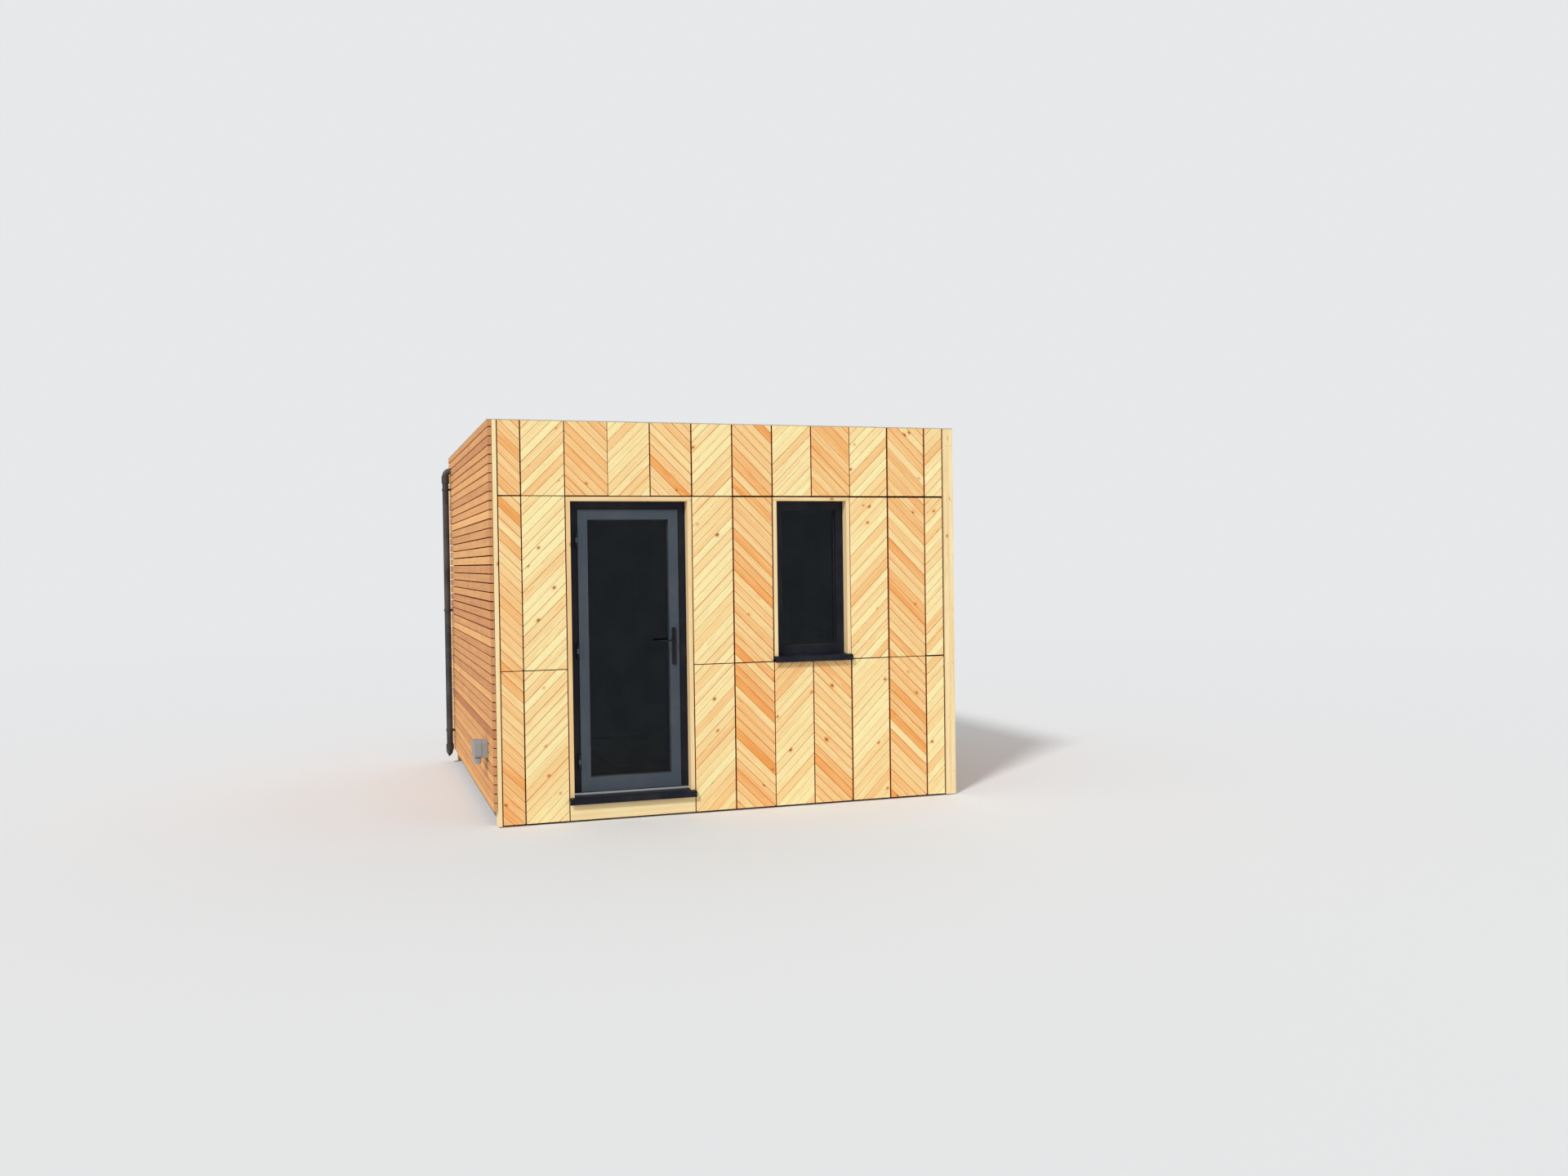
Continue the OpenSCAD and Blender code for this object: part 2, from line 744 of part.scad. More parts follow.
// Handle plates on both faces of the leaf
module handle_plates() {
    proud = 4;
    color(handle_black) {
        handle_plate(plate_out_y, leaf_y, plate_out_y - proud, leaf_y);
        handle_plate(leaf_back, plate_in_y, leaf_back, plate_in_y + proud);
    }
}

// One lever: neck, elbow and bar with a round tip. out is -1 outside and 1 inside.
module lever(face, plate_face, out) {
    bar_y = plate_face + out * lever_reach;
    neck_start = face + out * seat;
    rod_y(spindle_x, min(neck_start, bar_y), max(neck_start, bar_y), handle_z, neck_r);
    translate([spindle_x, bar_y, handle_z]) sphere(r = neck_r);
    rod_x(spindle_x - lever_len + lever_r, spindle_x, bar_y, handle_z, lever_r);
    translate([spindle_x - lever_len + lever_r, bar_y, handle_z]) sphere(r = lever_r);
}

// Lever handle: both levers on one spindle through the leaf
module lever_handle() {
    color(handle_black) {
        lever(leaf_y, plate_out_y, -1);
        lever(leaf_back, plate_in_y, 1);
        rod_y(spindle_x, plate_out_y, plate_in_y, handle_z, spindle_r);
    }
}

// Timber lining of the window opening: jambs that stand on the sill, a head and an inner board
module window_lining() {
    color(timber) {
        intersection() {
            ring_y([window_x0, 0, window_x1, head_z],
                   [window_frame_x0, -past, window_frame_x1, window_frame_z1], front_y, inner_front_y);
            above_sill(window_x0, window_x1, window_seat_z, window_sill_profile);
        }
        block([window_x0, window_y + window_frame_d, window_seat_z],
              [window_x1, inner_front_y, window_frame_z0]);
    }
}

window_outer = [window_frame_x0, window_frame_z0, window_frame_x1, window_frame_z1];
window_light = grow(window_outer, -window_frame_w);

// Window frame with an outer lip and a glazing rebate
module window_frame() {
    color(frame_grey) {
        ring_y(window_outer, window_light, window_y, window_glass_y);
        ring_y(window_outer, grow(window_light, glass_cover), window_glass_y - bite, window_y + window_frame_d);
    }
}

module window_bead() {
    color(frame_grey) ring_y(grow(window_light, glass_cover), window_light,
                             window_glass_y + glass_t, window_y + window_frame_d);
}

module window_glass() {
    glass_unit(window_light, window_glass_y);
}

module window_sill() {
    color(frame_grey) sill(window_x0, window_x1, window_sill_profile);
}

// Weatherproof outdoor power outlet: back box on the slats, and a lid with a hanging skirt
module outdoor_socket() {
    y0 = front_y + outlet_y;
    y1 = y0 + outlet_w;
    box_face = -side_x - outlet_box_d;
    lid_face = box_face - outlet_lid_d;
    edge = 4;
    top = outlet_z + outlet_h;
    color(plastic_grey) {
        block([box_face, y0 + edge, outlet_z], [-side_x, y1 - edge, top - edge]);
        block([lid_face, y0, outlet_z + edge], [box_face + bite, y1, top]);
        block([lid_face + edge, y0 + edge, outlet_z - outlet_skirt],
              [box_face - edge, y1 - edge, outlet_z + edge + bite]);
    }
}

// Ring of a pipe's cross-section
module pipe_ring(r, bore) {
    difference() {
        circle(r = r);
        circle(r = bore);
    }
}

// Straight pipe that stands upright on z = 0
module tube(h, r, bore) {
    linear_extrude(h) pipe_ring(r, bore);
}

// Bend in the XZ plane about the origin, from start to start + angle, counted from +X towards +Z
module bend_xz(start, angle, r, bore) {
    rotate([90, 0, 0]) rotate([0, 0, start])
        rotate_extrude(angle = angle) translate([bend_r, 0]) pipe_ring(r, bore);
}

// Rainwater outlet: spigot through the kerb and the slats, quarter bend and socket
module roof_outlet() {
    bend_z = outlet_pipe_z - bend_r;
    color("#24272a") {
        translate([-side_x, pipe_y, outlet_pipe_z]) rotate([0, 90, 0])
            tube(side_x - half_w + kerb_w - membrane_t, pipe_r, pipe_r - pipe_wall);
        translate([-side_x, pipe_y, bend_z]) bend_xz(90, 90, pipe_r, pipe_r - pipe_wall);
        translate([pipe_x, pipe_y, bend_z - collar_h]) tube(collar_h, socket_r, pipe_r - pipe_wall);
        translate([pipe_x, pipe_y, socket_bottom])
            tube(socket_len - collar_h, socket_r, pipe_r + seat);
    }
}

// Shoe at the downpipe's foot, which turns the water away from the wall
module pipe_shoe() {
    shoe_angle = 60;
    shoe_socket = 40;
    translate([pipe_x - bend_r, pipe_y, shoe_z]) mirror([0, 0, 1])
        bend_xz(0, shoe_angle, pipe_r, pipe_r - pipe_wall);
    translate([pipe_x, pipe_y, shoe_z]) tube(collar_h, socket_r, pipe_r - pipe_wall);
    translate([pipe_x, pipe_y, shoe_z + collar_h]) tube(shoe_socket, socket_r, pipe_r + seat);
}

// Downpipe, which stands in the shoe's socket and ends in the outlet's
module downpipe() {
    foot = shoe_z + collar_h + seat;
    top = socket_bottom + socket_len - collar_h - seat;
    color("#24272a") {
        translate([pipe_x, pipe_y, foot]) tube(top - foot, pipe_r, pipe_r - pipe_wall);
        pipe_shoe();
    }
}

// Clips that hold the downpipe off the slats
module pipe_clips() {
    clip_h = 18;
    band = 4;
    neck = 10;
    foot = 24;
    low = shoe_z + clip_from_shoe;
    high = socket_bottom - clip_from_socket;
    color("#24272a") for (i = [0 : clip_count - 1]) {
        z = low + i * (high - low) / (clip_count - 1);
        difference() {
            union() {
                translate([pipe_x, pipe_y, z]) cylinder(h = clip_h, r = pipe_r + seat + band);
                block([pipe_x, pipe_y - neck, z], [-side_x, pipe_y + neck, z + clip_h]);
                block([-side_x - band, pipe_y - foot, z], [-side_x, pipe_y + foot, z + clip_h]);
            }
            translate([pipe_x, pipe_y, z - past]) cylinder(h = clip_h + 2 * past, r = pipe_r + seat);
        }
    }
}

base_bearers();
floor_cassette();
floor_deck();
front_wall_left();
front_wall_over_door();
front_wall_middle();
front_wall_window_bay();
front_wall_right();
left_wall();
right_wall();
back_wall();
ceiling();
roof_cassette();
roof_kerb();
roof_membrane();
edge_capping();
battens();
front_panels_top();
front_panels_middle();
front_panels_bottom();
left_cladding();
right_cladding();
back_cladding();
front_corner_trims();
right_corner_cover();
back_corner_trims();
door_lining();
door_frame();
door_threshold();
door_sill();
door_plinth();
door_leaf();
door_glass();
door_bead();
hinge_frame_halves();
hinge_leaf_halves();
handle_plates();
lever_handle();
window_lining();
window_frame();
window_bead();
window_glass();
window_sill();
outdoor_socket();
roof_outlet();
downpipe();
pipe_clips();
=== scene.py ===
# %% [markdown]
# # A garden office pod, dressed for the camera
#
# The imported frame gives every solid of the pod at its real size. This lesson turns those solids into what a
# joiner would recognise: boards laid at 45 degrees, slats with rounded arrises, mitred metal frames, sealed
# glazing. Everything is in metres: X runs along the front, Y from the front to the back and Z up.

# %% Load the frame
import functools
import json
import math
import random

import bmesh
import bpy
from mathutils import Matrix, Vector

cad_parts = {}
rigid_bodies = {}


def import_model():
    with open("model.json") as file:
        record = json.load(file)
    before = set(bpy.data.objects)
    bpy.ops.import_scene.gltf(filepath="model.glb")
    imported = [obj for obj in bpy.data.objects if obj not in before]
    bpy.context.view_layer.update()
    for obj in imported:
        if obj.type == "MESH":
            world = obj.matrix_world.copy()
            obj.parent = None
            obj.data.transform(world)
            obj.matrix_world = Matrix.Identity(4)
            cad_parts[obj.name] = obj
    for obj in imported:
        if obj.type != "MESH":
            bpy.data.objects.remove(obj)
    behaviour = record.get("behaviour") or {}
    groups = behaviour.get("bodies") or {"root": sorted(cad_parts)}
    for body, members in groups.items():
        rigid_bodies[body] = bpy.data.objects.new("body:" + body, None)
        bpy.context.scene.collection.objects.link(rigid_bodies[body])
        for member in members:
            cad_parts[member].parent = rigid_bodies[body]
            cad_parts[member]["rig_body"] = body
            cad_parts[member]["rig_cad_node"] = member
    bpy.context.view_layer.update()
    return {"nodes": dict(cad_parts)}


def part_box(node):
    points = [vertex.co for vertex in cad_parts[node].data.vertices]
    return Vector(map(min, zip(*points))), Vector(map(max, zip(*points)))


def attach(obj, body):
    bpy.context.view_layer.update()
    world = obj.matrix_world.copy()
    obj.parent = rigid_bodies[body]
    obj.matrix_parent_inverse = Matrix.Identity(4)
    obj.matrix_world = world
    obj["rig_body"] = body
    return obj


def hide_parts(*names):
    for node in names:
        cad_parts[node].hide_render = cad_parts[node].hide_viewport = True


bpy.ops.object.select_all(action="SELECT")
bpy.ops.object.delete()
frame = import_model()
cad_nodes = frame["nodes"]

# %% [markdown]
# ## The camera
#
# The photograph was taken from the left, at eye height. A camera can be placed by hand until the corners
# match, or solved from them. Here its place and its three angles were solved, so they are typed in as
# numbers: yaw turns it to the right of straight ahead, pitch tilts it, and roll levels the horizon.

# %% Place the camera
EYE = Vector((-2.400, -9.785, 1.603))
YAW, PITCH, ROLL = (math.radians(a) for a in (18.358, -1.109, -0.755))
FOCAL_PIXELS = 1626.76
PHOTO_WIDTH = 1920

ahead = Vector((math.sin(YAW) * math.cos(PITCH), math.cos(YAW) * math.cos(PITCH), math.sin(PITCH)))
level_right = Vector((math.cos(YAW), -math.sin(YAW), 0))
level_up = level_right.cross(ahead)
right = math.cos(ROLL) * level_right + math.sin(ROLL) * level_up
up = math.cos(ROLL) * level_up - math.sin(ROLL) * level_right

camera = bpy.data.objects.new("camera", bpy.data.cameras.new("camera"))
bpy.context.scene.collection.objects.link(camera)
camera.matrix_world = Matrix.Translation(EYE) @ Matrix((right, up, -ahead)).transposed().to_4x4()
camera.data.sensor_width = 36
camera.data.lens = FOCAL_PIXELS * camera.data.sensor_width / PHOTO_WIDTH
bpy.context.scene.camera = camera
print("lens", round(camera.data.lens, 2), "mm")

# %% [markdown]
# ## Building node trees
#
# Every finish below is a small network of nodes. `put` adds a node and either sets or links each of its
# inputs: a value that varies over the surface arrives as a socket and gets linked, and a plain number is
# written on the node itself. Each helper after it adds one usual node to the tree that its sockets belong to,
# so that a network reads like a sum.

# %% Helpers for single nodes
def put(kind, inputs=None, tree=None, **settings):
    """Adds a node to the tree of the sockets that it takes, or to the one that is named.

    Inputs are given by name or number, as a socket to link or as a value.
    """
    inputs = inputs or {}
    sockets = [value for value in inputs.values() if isinstance(value, bpy.types.NodeSocket)]
    tree = tree or sockets[0].id_data
    made = tree.nodes.new(kind)
    for name, value in settings.items():
        setattr(made, name, value)
    for key, value in inputs.items():
        if isinstance(value, bpy.types.NodeSocket):
            tree.links.new(value, made.inputs[key])
        else:
            made.inputs[key].default_value = value
    return made


def maths(operation, *values):
    return put("ShaderNodeMath", dict(enumerate(values)), operation=operation).outputs[0]


# The usual sums by names of their own. times_plus multiplies the first two and adds the third.
plus, minus, times, over, times_plus = (
    functools.partial(maths, sign) for sign in ("ADD", "SUBTRACT", "MULTIPLY", "DIVIDE", "MULTIPLY_ADD"))


def vectors(operation, *values):
    """Result of a Vector Math node, which is a number for a length."""
    made = put("ShaderNodeVectorMath", dict(enumerate(values)), operation=operation)
    return made.outputs["Value" if operation == "LENGTH" else "Vector"]


def stretched(vector, x, y, z):
    """Vector with each part multiplied, to stretch a pattern."""
    return vectors("MULTIPLY", vector, (x, y, z))


def split(vector):
    return put("ShaderNodeSeparateXYZ", {0: vector}).outputs


def spread(value, low, high, to_low=0.0, to_high=1.0):
    """Value mapped smoothly from one range to another."""
    inputs = {"Value": value, "From Min": low, "From Max": high, "To Min": to_low, "To Max": to_high}
    return put("ShaderNodeMapRange", inputs, interpolation_type="SMOOTHSTEP").outputs[0]


def blend(factor, first, second, way="MIX"):
    """Blend of two colours, which are inputs 6 and 7 of a Mix node."""
    inputs = {"Factor": factor, 6: first, 7: second}
    return put("ShaderNodeMix", inputs, data_type="RGBA", blend_type=way).outputs[2]


def noise(vector, scale=1.0, detail=2.0, roughness=0.5):
    inputs = {"Vector": vector, "Scale": scale, "Detail": detail, "Roughness": roughness}
    return put("ShaderNodeTexNoise", inputs).outputs["Fac"]


def chance_of(number):
    """A random value that belongs to a number."""
    return put("ShaderNodeTexWhiteNoise", {"W": number}, noise_dimensions="1D").outputs["Value"]


def object_place(tree):
    """Object coordinates: the place on the pod in metres, because every piece has its origin at the pod's."""
    return put("ShaderNodeTexCoord", tree=tree).outputs["Object"]


def stamped(tree, name, output="Fac"):
    """A value that the points of a board carry."""
    return put("ShaderNodeAttribute", tree=tree, attribute_name=name).outputs[output]


print("node helpers ready")


# %% Helpers for groups and materials
def new_group(name, inputs):
    """Node group with named inputs, and the three outputs that a finish needs. None stands for a vector."""
    tree = bpy.data.node_groups.new(name, "ShaderNodeTree")
    for label, value in inputs.items():
        kind = "Vector" if value is None else "Color" if isinstance(value, tuple) else "Float"
        socket = tree.interface.new_socket(label, in_out="INPUT", socket_type="NodeSocket" + kind)
        if value is not None:
            socket.default_value = value
    for label, kind in (("Colour", "Color"), ("Roughness", "Float"), ("Height", "Float")):
        tree.interface.new_socket(label, in_out="OUTPUT", socket_type="NodeSocket" + kind)
    return tree, tree.nodes.new("NodeGroupInput").outputs


def send(tree, tint, roughness, height):
    """Links a group's results to its outputs."""
    put("NodeGroupOutput", {"Colour": tint, "Roughness": roughness, "Height": height})
    print(tree.name, "group:", len(tree.nodes), "nodes")


def colour(red, green, blue):
    """Colour as a screen shows it, 0 to 255, turned into the light values that Blender uses."""
    def light(v):
        v = v / 255
        return v / 12.92 if v <= 0.04045 else ((v + 0.055) / 1.055) ** 2.4
    return (light(red), light(green), light(blue), 1.0)


def new_material(name, **shader):
    """Material with one Principled shader, whose plain values are set on its own sockets."""
    made = bpy.data.materials.new(name)
    made.use_nodes = True
    for label, value in shader.items():
        made.node_tree.nodes["Principled BSDF"].inputs[label.replace("_", " ")].default_value = value
    return made, made.node_tree


def finish_shader(tree, tint, roughness, height, relief):
    """Links a finish to the material's shader. relief is the height of its bumps in metres."""
    shader = tree.nodes["Principled BSDF"].inputs
    tree.links.new(tint, shader["Base Color"])
    tree.links.new(roughness, shader["Roughness"])
    bump = put("ShaderNodeBump", {"Height": height, "Distance": relief, "Strength": 1.0})
    tree.links.new(bump.outputs[0], shader["Normal"])


print("material helpers ready")

# %% [markdown]
# ## Studio floor, backdrop and light
#
# The pod stands on a plain pale floor that runs into a backdrop of the same colour, so no horizon shows. The
# world has two strengths: what the camera, a mirror or a pane of glass sees is the backdrop, and what lights
# the pod is a plain soft light. A large sun from the front left gives the boards their shading, as the
# daylight does.

# %% Build the floor, the world and the lamps
BACKDROP = (0.80, 0.81, 0.82, 1.0)
FLOOR_COLOUR = (0.76, 0.768, 0.776, 1.0)
FLOOR_SIZE = 400
FADE_FROM, FADE_TO = 7.0, 30.0
SKY_LIGHT = 0.56


def seen_directly(tree):
    """1 for a ray from the camera, or one that was mirrored or has passed through glass."""
    path = put("ShaderNodeLightPath", tree=tree).outputs
    either = maths("MAXIMUM", path["Is Camera Ray"], path["Is Glossy Ray"])
    return maths("MAXIMUM", either, path["Is Transmission Ray"])


world = bpy.data.worlds.new("studio")
bpy.context.scene.world = world
world.use_nodes = True
tree = world.node_tree
tree.nodes.clear()
lit = put("ShaderNodeBackground", {"Color": (1.0, 1.0, 1.0, 1.0), "Strength": SKY_LIGHT}, tree)
shown = put("ShaderNodeBackground", {"Color": BACKDROP, "Strength": 1.0}, tree)
both = put("ShaderNodeMixShader", {0: seen_directly(tree), 1: lit.outputs[0], 2: shown.outputs[0]})
put("ShaderNodeOutputWorld", {0: both.outputs[0]})

bpy.ops.mesh.primitive_plane_add(size=FLOOR_SIZE, location=(0, 0, 0))
studio_floor = bpy.context.active_object
studio_floor.name = "studio_floor"
material = bpy.data.materials.new("studio_floor")
material.use_nodes = True
tree = material.node_tree
tree.nodes.clear()
far = spread(vectors("LENGTH", object_place(tree)), FADE_FROM, FADE_TO)
diffuse = put("ShaderNodeBsdfDiffuse", {"Color": FLOOR_COLOUR}, tree)
glow = put("ShaderNodeEmission", {"Color": BACKDROP, "Strength": 1.0}, tree)
amount = times(far, seen_directly(tree))
both = put("ShaderNodeMixShader", {0: amount, 1: diffuse.outputs[0], 2: glow.outputs[0]})
put("ShaderNodeOutputMaterial", {0: both.outputs[0]})
studio_floor.data.materials.append(material)


def sun(name, azimuth, elevation, strength, softness):
    """Lamp that shines from an azimuth, counted from the front towards the right, and an elevation."""
    lamp = bpy.data.objects.new(name, bpy.data.lights.new(name, "SUN"))
    bpy.context.scene.collection.objects.link(lamp)
    lamp.rotation_euler = (math.radians(90 - elevation), 0, math.radians(azimuth))
    lamp.data.energy = strength
    lamp.data.angle = math.radians(softness)


sun("key_light", -44, 41, 2.0, 8)
sun("fill_light", 150, 35, 0.35, 60)
print("studio ready")

# %% [markdown]
# ## Tools for modelling
#
# The boards are made as at a bench. A cube is added at the board's size, its long arrises are rounded in edit
# mode, copies are laid side by side, and the whole is sawn off with bisect, which also closes the cut.
# Everything is deselected first, because operators act on all that is selected and the frame arrives
# selected.

# %% Helpers that add and open pieces
def only(*objects):
    """Selects just these objects. The last one is the active one."""
    bpy.ops.object.select_all(action="DESELECT")
    for o in objects:
        o.select_set(True)
    bpy.context.view_layer.objects.active = objects[-1]


def settle(o):
    """Puts the object's place, turn and size into its mesh."""
    only(o)
    bpy.ops.object.transform_apply(location=True, rotation=True, scale=True)
    return o


def just_added(name):
    o = settle(bpy.context.active_object)
    o.name = o.data.name = name
    return o


def block(name, low, high):
    """Box between two corners."""
    low, high = Vector(low), Vector(high)
    bpy.ops.object.select_all(action="DESELECT")
    bpy.ops.mesh.primitive_cube_add(size=1, location=(low + high) / 2, scale=high - low)
    return just_added(name)


def rod(name, axis, radius, length, middle, sides):
    """Cylinder along X or Y."""
    turn = (0, math.pi / 2, 0) if axis == "X" else (math.pi / 2, 0, 0)
    bpy.ops.object.select_all(action="DESELECT")
    bpy.ops.mesh.primitive_cylinder_add(vertices=sides, radius=radius, depth=length, rotation=turn,
                                        location=middle)
    return just_added(name)


def open_all(o):
    """Opens the piece in edit mode with everything selected."""
    only(o)
    bpy.ops.object.mode_set(mode="EDIT")
    bpy.ops.mesh.select_all(action="SELECT")


def pick(o, kind, test):
    """Opens the piece in edit mode and selects its edges or faces that pass a test."""
    open_all(o)
    bpy.ops.mesh.select_mode(type=kind)
    bpy.ops.mesh.select_all(action="DESELECT")
    mesh = bmesh.from_edit_mesh(o.data)
    for part in (mesh.edges if kind == "EDGE" else mesh.faces):
        part.select_set(test(part))
    bmesh.update_edit_mesh(o.data)


def close():
    """Leaves edit mode."""
    bpy.ops.object.mode_set(mode="OBJECT")


def runs_along(axis):
    """Test for edges that run along an axis, 0 for X, 1 for Y and 2 for Z."""
    return lambda e: abs((e.verts[1].co - e.verts[0].co).normalized()[axis]) > 0.999


def looks_to(axis, side):
    """Test for faces that look along an axis. side is 1, or -1 for the other way."""
    return lambda f: f.normal[axis] * side > 0.99


# %% Helpers that shape pieces
def round_edges(o, test, radius, segments=3):
    pick(o, "EDGE", test)
    bpy.ops.mesh.bevel(offset=radius, segments=segments, affect="EDGES")
    close()


def press(o, test, rim, depth):
    """Insets the faces that pass a test by a rim, and moves what it frames in (below 0) or out."""
    pick(o, "FACE", test)
    bpy.ops.mesh.inset(thickness=rim)
    bpy.ops.mesh.extrude_region_shrink_fatten(TRANSFORM_OT_shrink_fatten={"value": depth})
    close()


def saw(o, point, normal):
    """Saws the piece along a plane, keeps the side away from the normal and closes the cut."""
    open_all(o)
    bpy.ops.mesh.bisect(plane_co=point, plane_no=normal, use_fill=True, clear_outer=True, threshold=0.00001)
    close()


def weld(o, distance):
    """Merges points that lie closer together than a distance."""
    open_all(o)
    bpy.ops.mesh.remove_doubles(threshold=distance)
    close()


def bore(o, drill):
    """Takes the drill's shape out of the piece, and the drill away."""
    only(o)
    cut = o.modifiers.new("bore", "BOOLEAN")
    cut.operation, cut.object, cut.solver = "DIFFERENCE", drill, "EXACT"
    bpy.ops.object.modifier_apply(modifier=cut.name)
    bpy.data.objects.remove(drill)


def ease(o, width, angle=40, segments=2, clamp=True):
    """Breaks every sharp edge with a small bevel."""
    only(o)
    bevel = o.modifiers.new("eased", "BEVEL")
    bevel.width = width
    bevel.segments = segments
    bevel.angle_limit = math.radians(angle)
    bevel.use_clamp_overlap = clamp
    bpy.ops.object.modifier_apply(modifier=bevel.name)
    return o


def join(objects, name):
    """One object from several."""
    only(*objects)
    if len(objects) > 1:
        bpy.ops.object.join()
    o = bpy.context.active_object
    o.name = o.data.name = name
    return o


def copy_of(o, name, move=(0, 0, 0)):
    """Copy with a mesh of its own, moved by a vector."""
    made = o.copy()
    made.data = o.data.copy()
    made.name = name
    bpy.context.scene.collection.objects.link(made)
    made.data.transform(Matrix.Translation(Vector(move)))
    return made


def loose_parts(o):
    """The separate solids of one object, as objects, from left to right."""
    open_all(o)
    bpy.ops.mesh.separate(type="LOOSE")
    close()
    return sorted(bpy.context.selected_objects, key=lambda s: tuple(round(v, 3) for v in s.bound_box[0]))


# %% [markdown]
# A CAD solid arrives as loose triangles, so a copy of it is merged and its flat faces are made whole before
# it is shaped further. Every finished piece is shaded smooth up to an angle. A weighted normal keeps its
# broad faces flat all the same, so only the eased edges look round.

# %% Helpers that begin and finish a piece
SMOOTH_ANGLE = 35


def from_cad(node, name):
    """Copy of a CAD node as a clean mesh: doubles merged and flat faces made whole."""
    o = copy_of(cad_nodes[node], name)
    o.parent = None
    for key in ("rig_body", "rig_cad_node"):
        if key in o:
            del o[key]
    o.data.materials.clear()
    weld(o, 0.00002)
    open_all(o)
    bpy.ops.mesh.dissolve_limited(angle_limit=math.radians(0.5))
    close()
    return o


def finish_piece(o, body, material, replaced=()):
    """Gives a finished piece its material, its body and the CAD nodes that it stands for."""
    o.data.materials.clear()
    o.data.materials.append(material)
    only(o)
    bpy.ops.object.shade_smooth_by_angle(angle=math.radians(SMOOTH_ANGLE))
    flat = o.modifiers.new("flat_faces_stay_flat", "WEIGHTED_NORMAL")
    flat.keep_sharp = True
    bpy.ops.object.modifier_apply(modifier=flat.name)
    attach(o, body)
    if replaced:
        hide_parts(*replaced)
    print(f"{o.name}: {len(o.data.polygons)} faces")


print("modelling helpers ready")

# %% [markdown]
# ## Where a point lies in its board
#
# Wood grain belongs to the board, not to the room. So each board writes two attributes on its points before
# it is turned or sawn: `grain`, the place along, across and through the board, measured from the middle of a
# tree, and `tone`, which says how pale or deep that board is. New points that a saw cut makes get their
# values in between. Sawn ends soak up more of the finish than the faces do and turn darker. A third mark,
# `end_grain`, is 1 on the points of such an end, and the material reads it.

# %% Helpers that stamp the grain
AXES = {"X": (0, 2, 1), "Y": (1, 2, 0), "Z": (2, 0, 1)}


def board_tone(draw, usual, spread_by, odd_share, odd_by):
    """Tone of the next board. An odd board here and there is deeper than the rest."""
    return usual + draw.gauss(0, spread_by) + (odd_by if draw.random() < odd_share else 0)


def stamp(o, axis, draw, tone):
    """Writes the grain and the tone of one board. axis is the letter of the way that the grain runs."""
    along, across, through = AXES[axis]
    points = [v.co.copy() for v in o.data.vertices]
    middle = [(min(p[i] for p in points) + max(p[i] for p in points)) / 2 for i in range(3)]
    start = draw.uniform(0, 60)
    heart_across = draw.uniform(-0.035, 0.035)
    heart_through = draw.choice((-1, 1)) * draw.uniform(0.012, 0.06)
    values = []
    for p in points:
        values += [p[along] + start, p[across] - middle[across] + heart_across,
                   p[through] - middle[through] + heart_through]
    o.data.attributes.new("grain", "FLOAT_VECTOR", "POINT").data.foreach_set("vector", values)
    tones = [min(max(tone, 0.02), 1.0)] * len(points)
    o.data.attributes.new("tone", "FLOAT", "POINT").data.foreach_set("value", tones)


def mark_ends(o, planes):
    """Writes 1 on the points that lie in a sawn end. planes are pairs of an axis, 0 to 2, and its place."""
    marks = [float(any(abs(v.co[axis] - place) < 0.0001 for axis, place in planes)) for v in o.data.vertices]
    o.data.attributes.new("end_grain", "FLOAT", "POINT").data.foreach_set("value", marks)


print("grain helpers ready")

# %% [markdown]
# ## Timber
#
# Softwood shows growth rings, and a flat-sawn face cuts them into long arches. A picture of wood would
# repeat, so the rings are worked out in space: they are circles round the heart of the tree, bent by a slow
# noise along the board. Knots are scattered cells, each with its own size, and the rings flow round them. The
# finish varies from board to board by `tone`, and fine fibres and soft streaks run along the grain.

# %% Timber group
CELL_LONG, CELL_WIDE = 0.33, 0.058
RING_WIDTH = 0.0042
KNOT_LEAST, KNOT_MORE = 0.0030, 0.0065
DRY_GREY, PALE_GREY = (0.30, 0.27, 0.235, 1), (0.46, 0.43, 0.385, 1)
DEEP_KNOT, PALE_KNOT = (0.24, 0.098, 0.036, 1), (0.38, 0.185, 0.075, 1)
KNOT_CORE = (0.055, 0.024, 0.011, 1)

timber, given = new_group("Timber", {
    "Grain": None, "Tone": 0.5, "Pale": (0.8, 0.6, 0.4, 1), "Deep": (0.5, 0.3, 0.15, 1), "Knots": 0.5,
    "Rings": 1.0, "Weather": 0.2})
grain = given["Grain"]
along, across, through = split(grain)

# Knots: each cell of board has one point, and the distance from it is measured in true metres
flat = put("ShaderNodeCombineXYZ", {0: over(along, CELL_LONG), 1: over(across, CELL_WIDE)}).outputs[0]
cells = put("ShaderNodeTexVoronoi", {"Vector": flat, "Scale": 1.0, "Randomness": 0.9},
            voronoi_dimensions="2D", feature="F1").outputs
offset = stretched(vectors("SUBTRACT", flat, cells["Position"]), CELL_LONG, CELL_WIDE, 0.0)
wobble = times(minus(noise(grain, 90.0, 2.0), 0.5), 0.005)
reach = plus(vectors("LENGTH", stretched(offset, 0.75, 1.0, 0.0)), wobble)
lot = put("ShaderNodeSeparateColor", {0: cells["Color"]}).outputs
chance = maths("LESS_THAN", lot[0], given["Knots"])
knot_r = times(chance, times_plus(lot[1], KNOT_MORE, KNOT_LEAST))
inside = minus(knot_r, reach)
knot = spread(inside, -0.0022, 0.0026)
halo = times(spread(inside, -0.013, 0.0), chance)
core = spread(times_plus(knot_r, -0.60, inside), -0.0009, 0.0009)
core = times(core, chance)

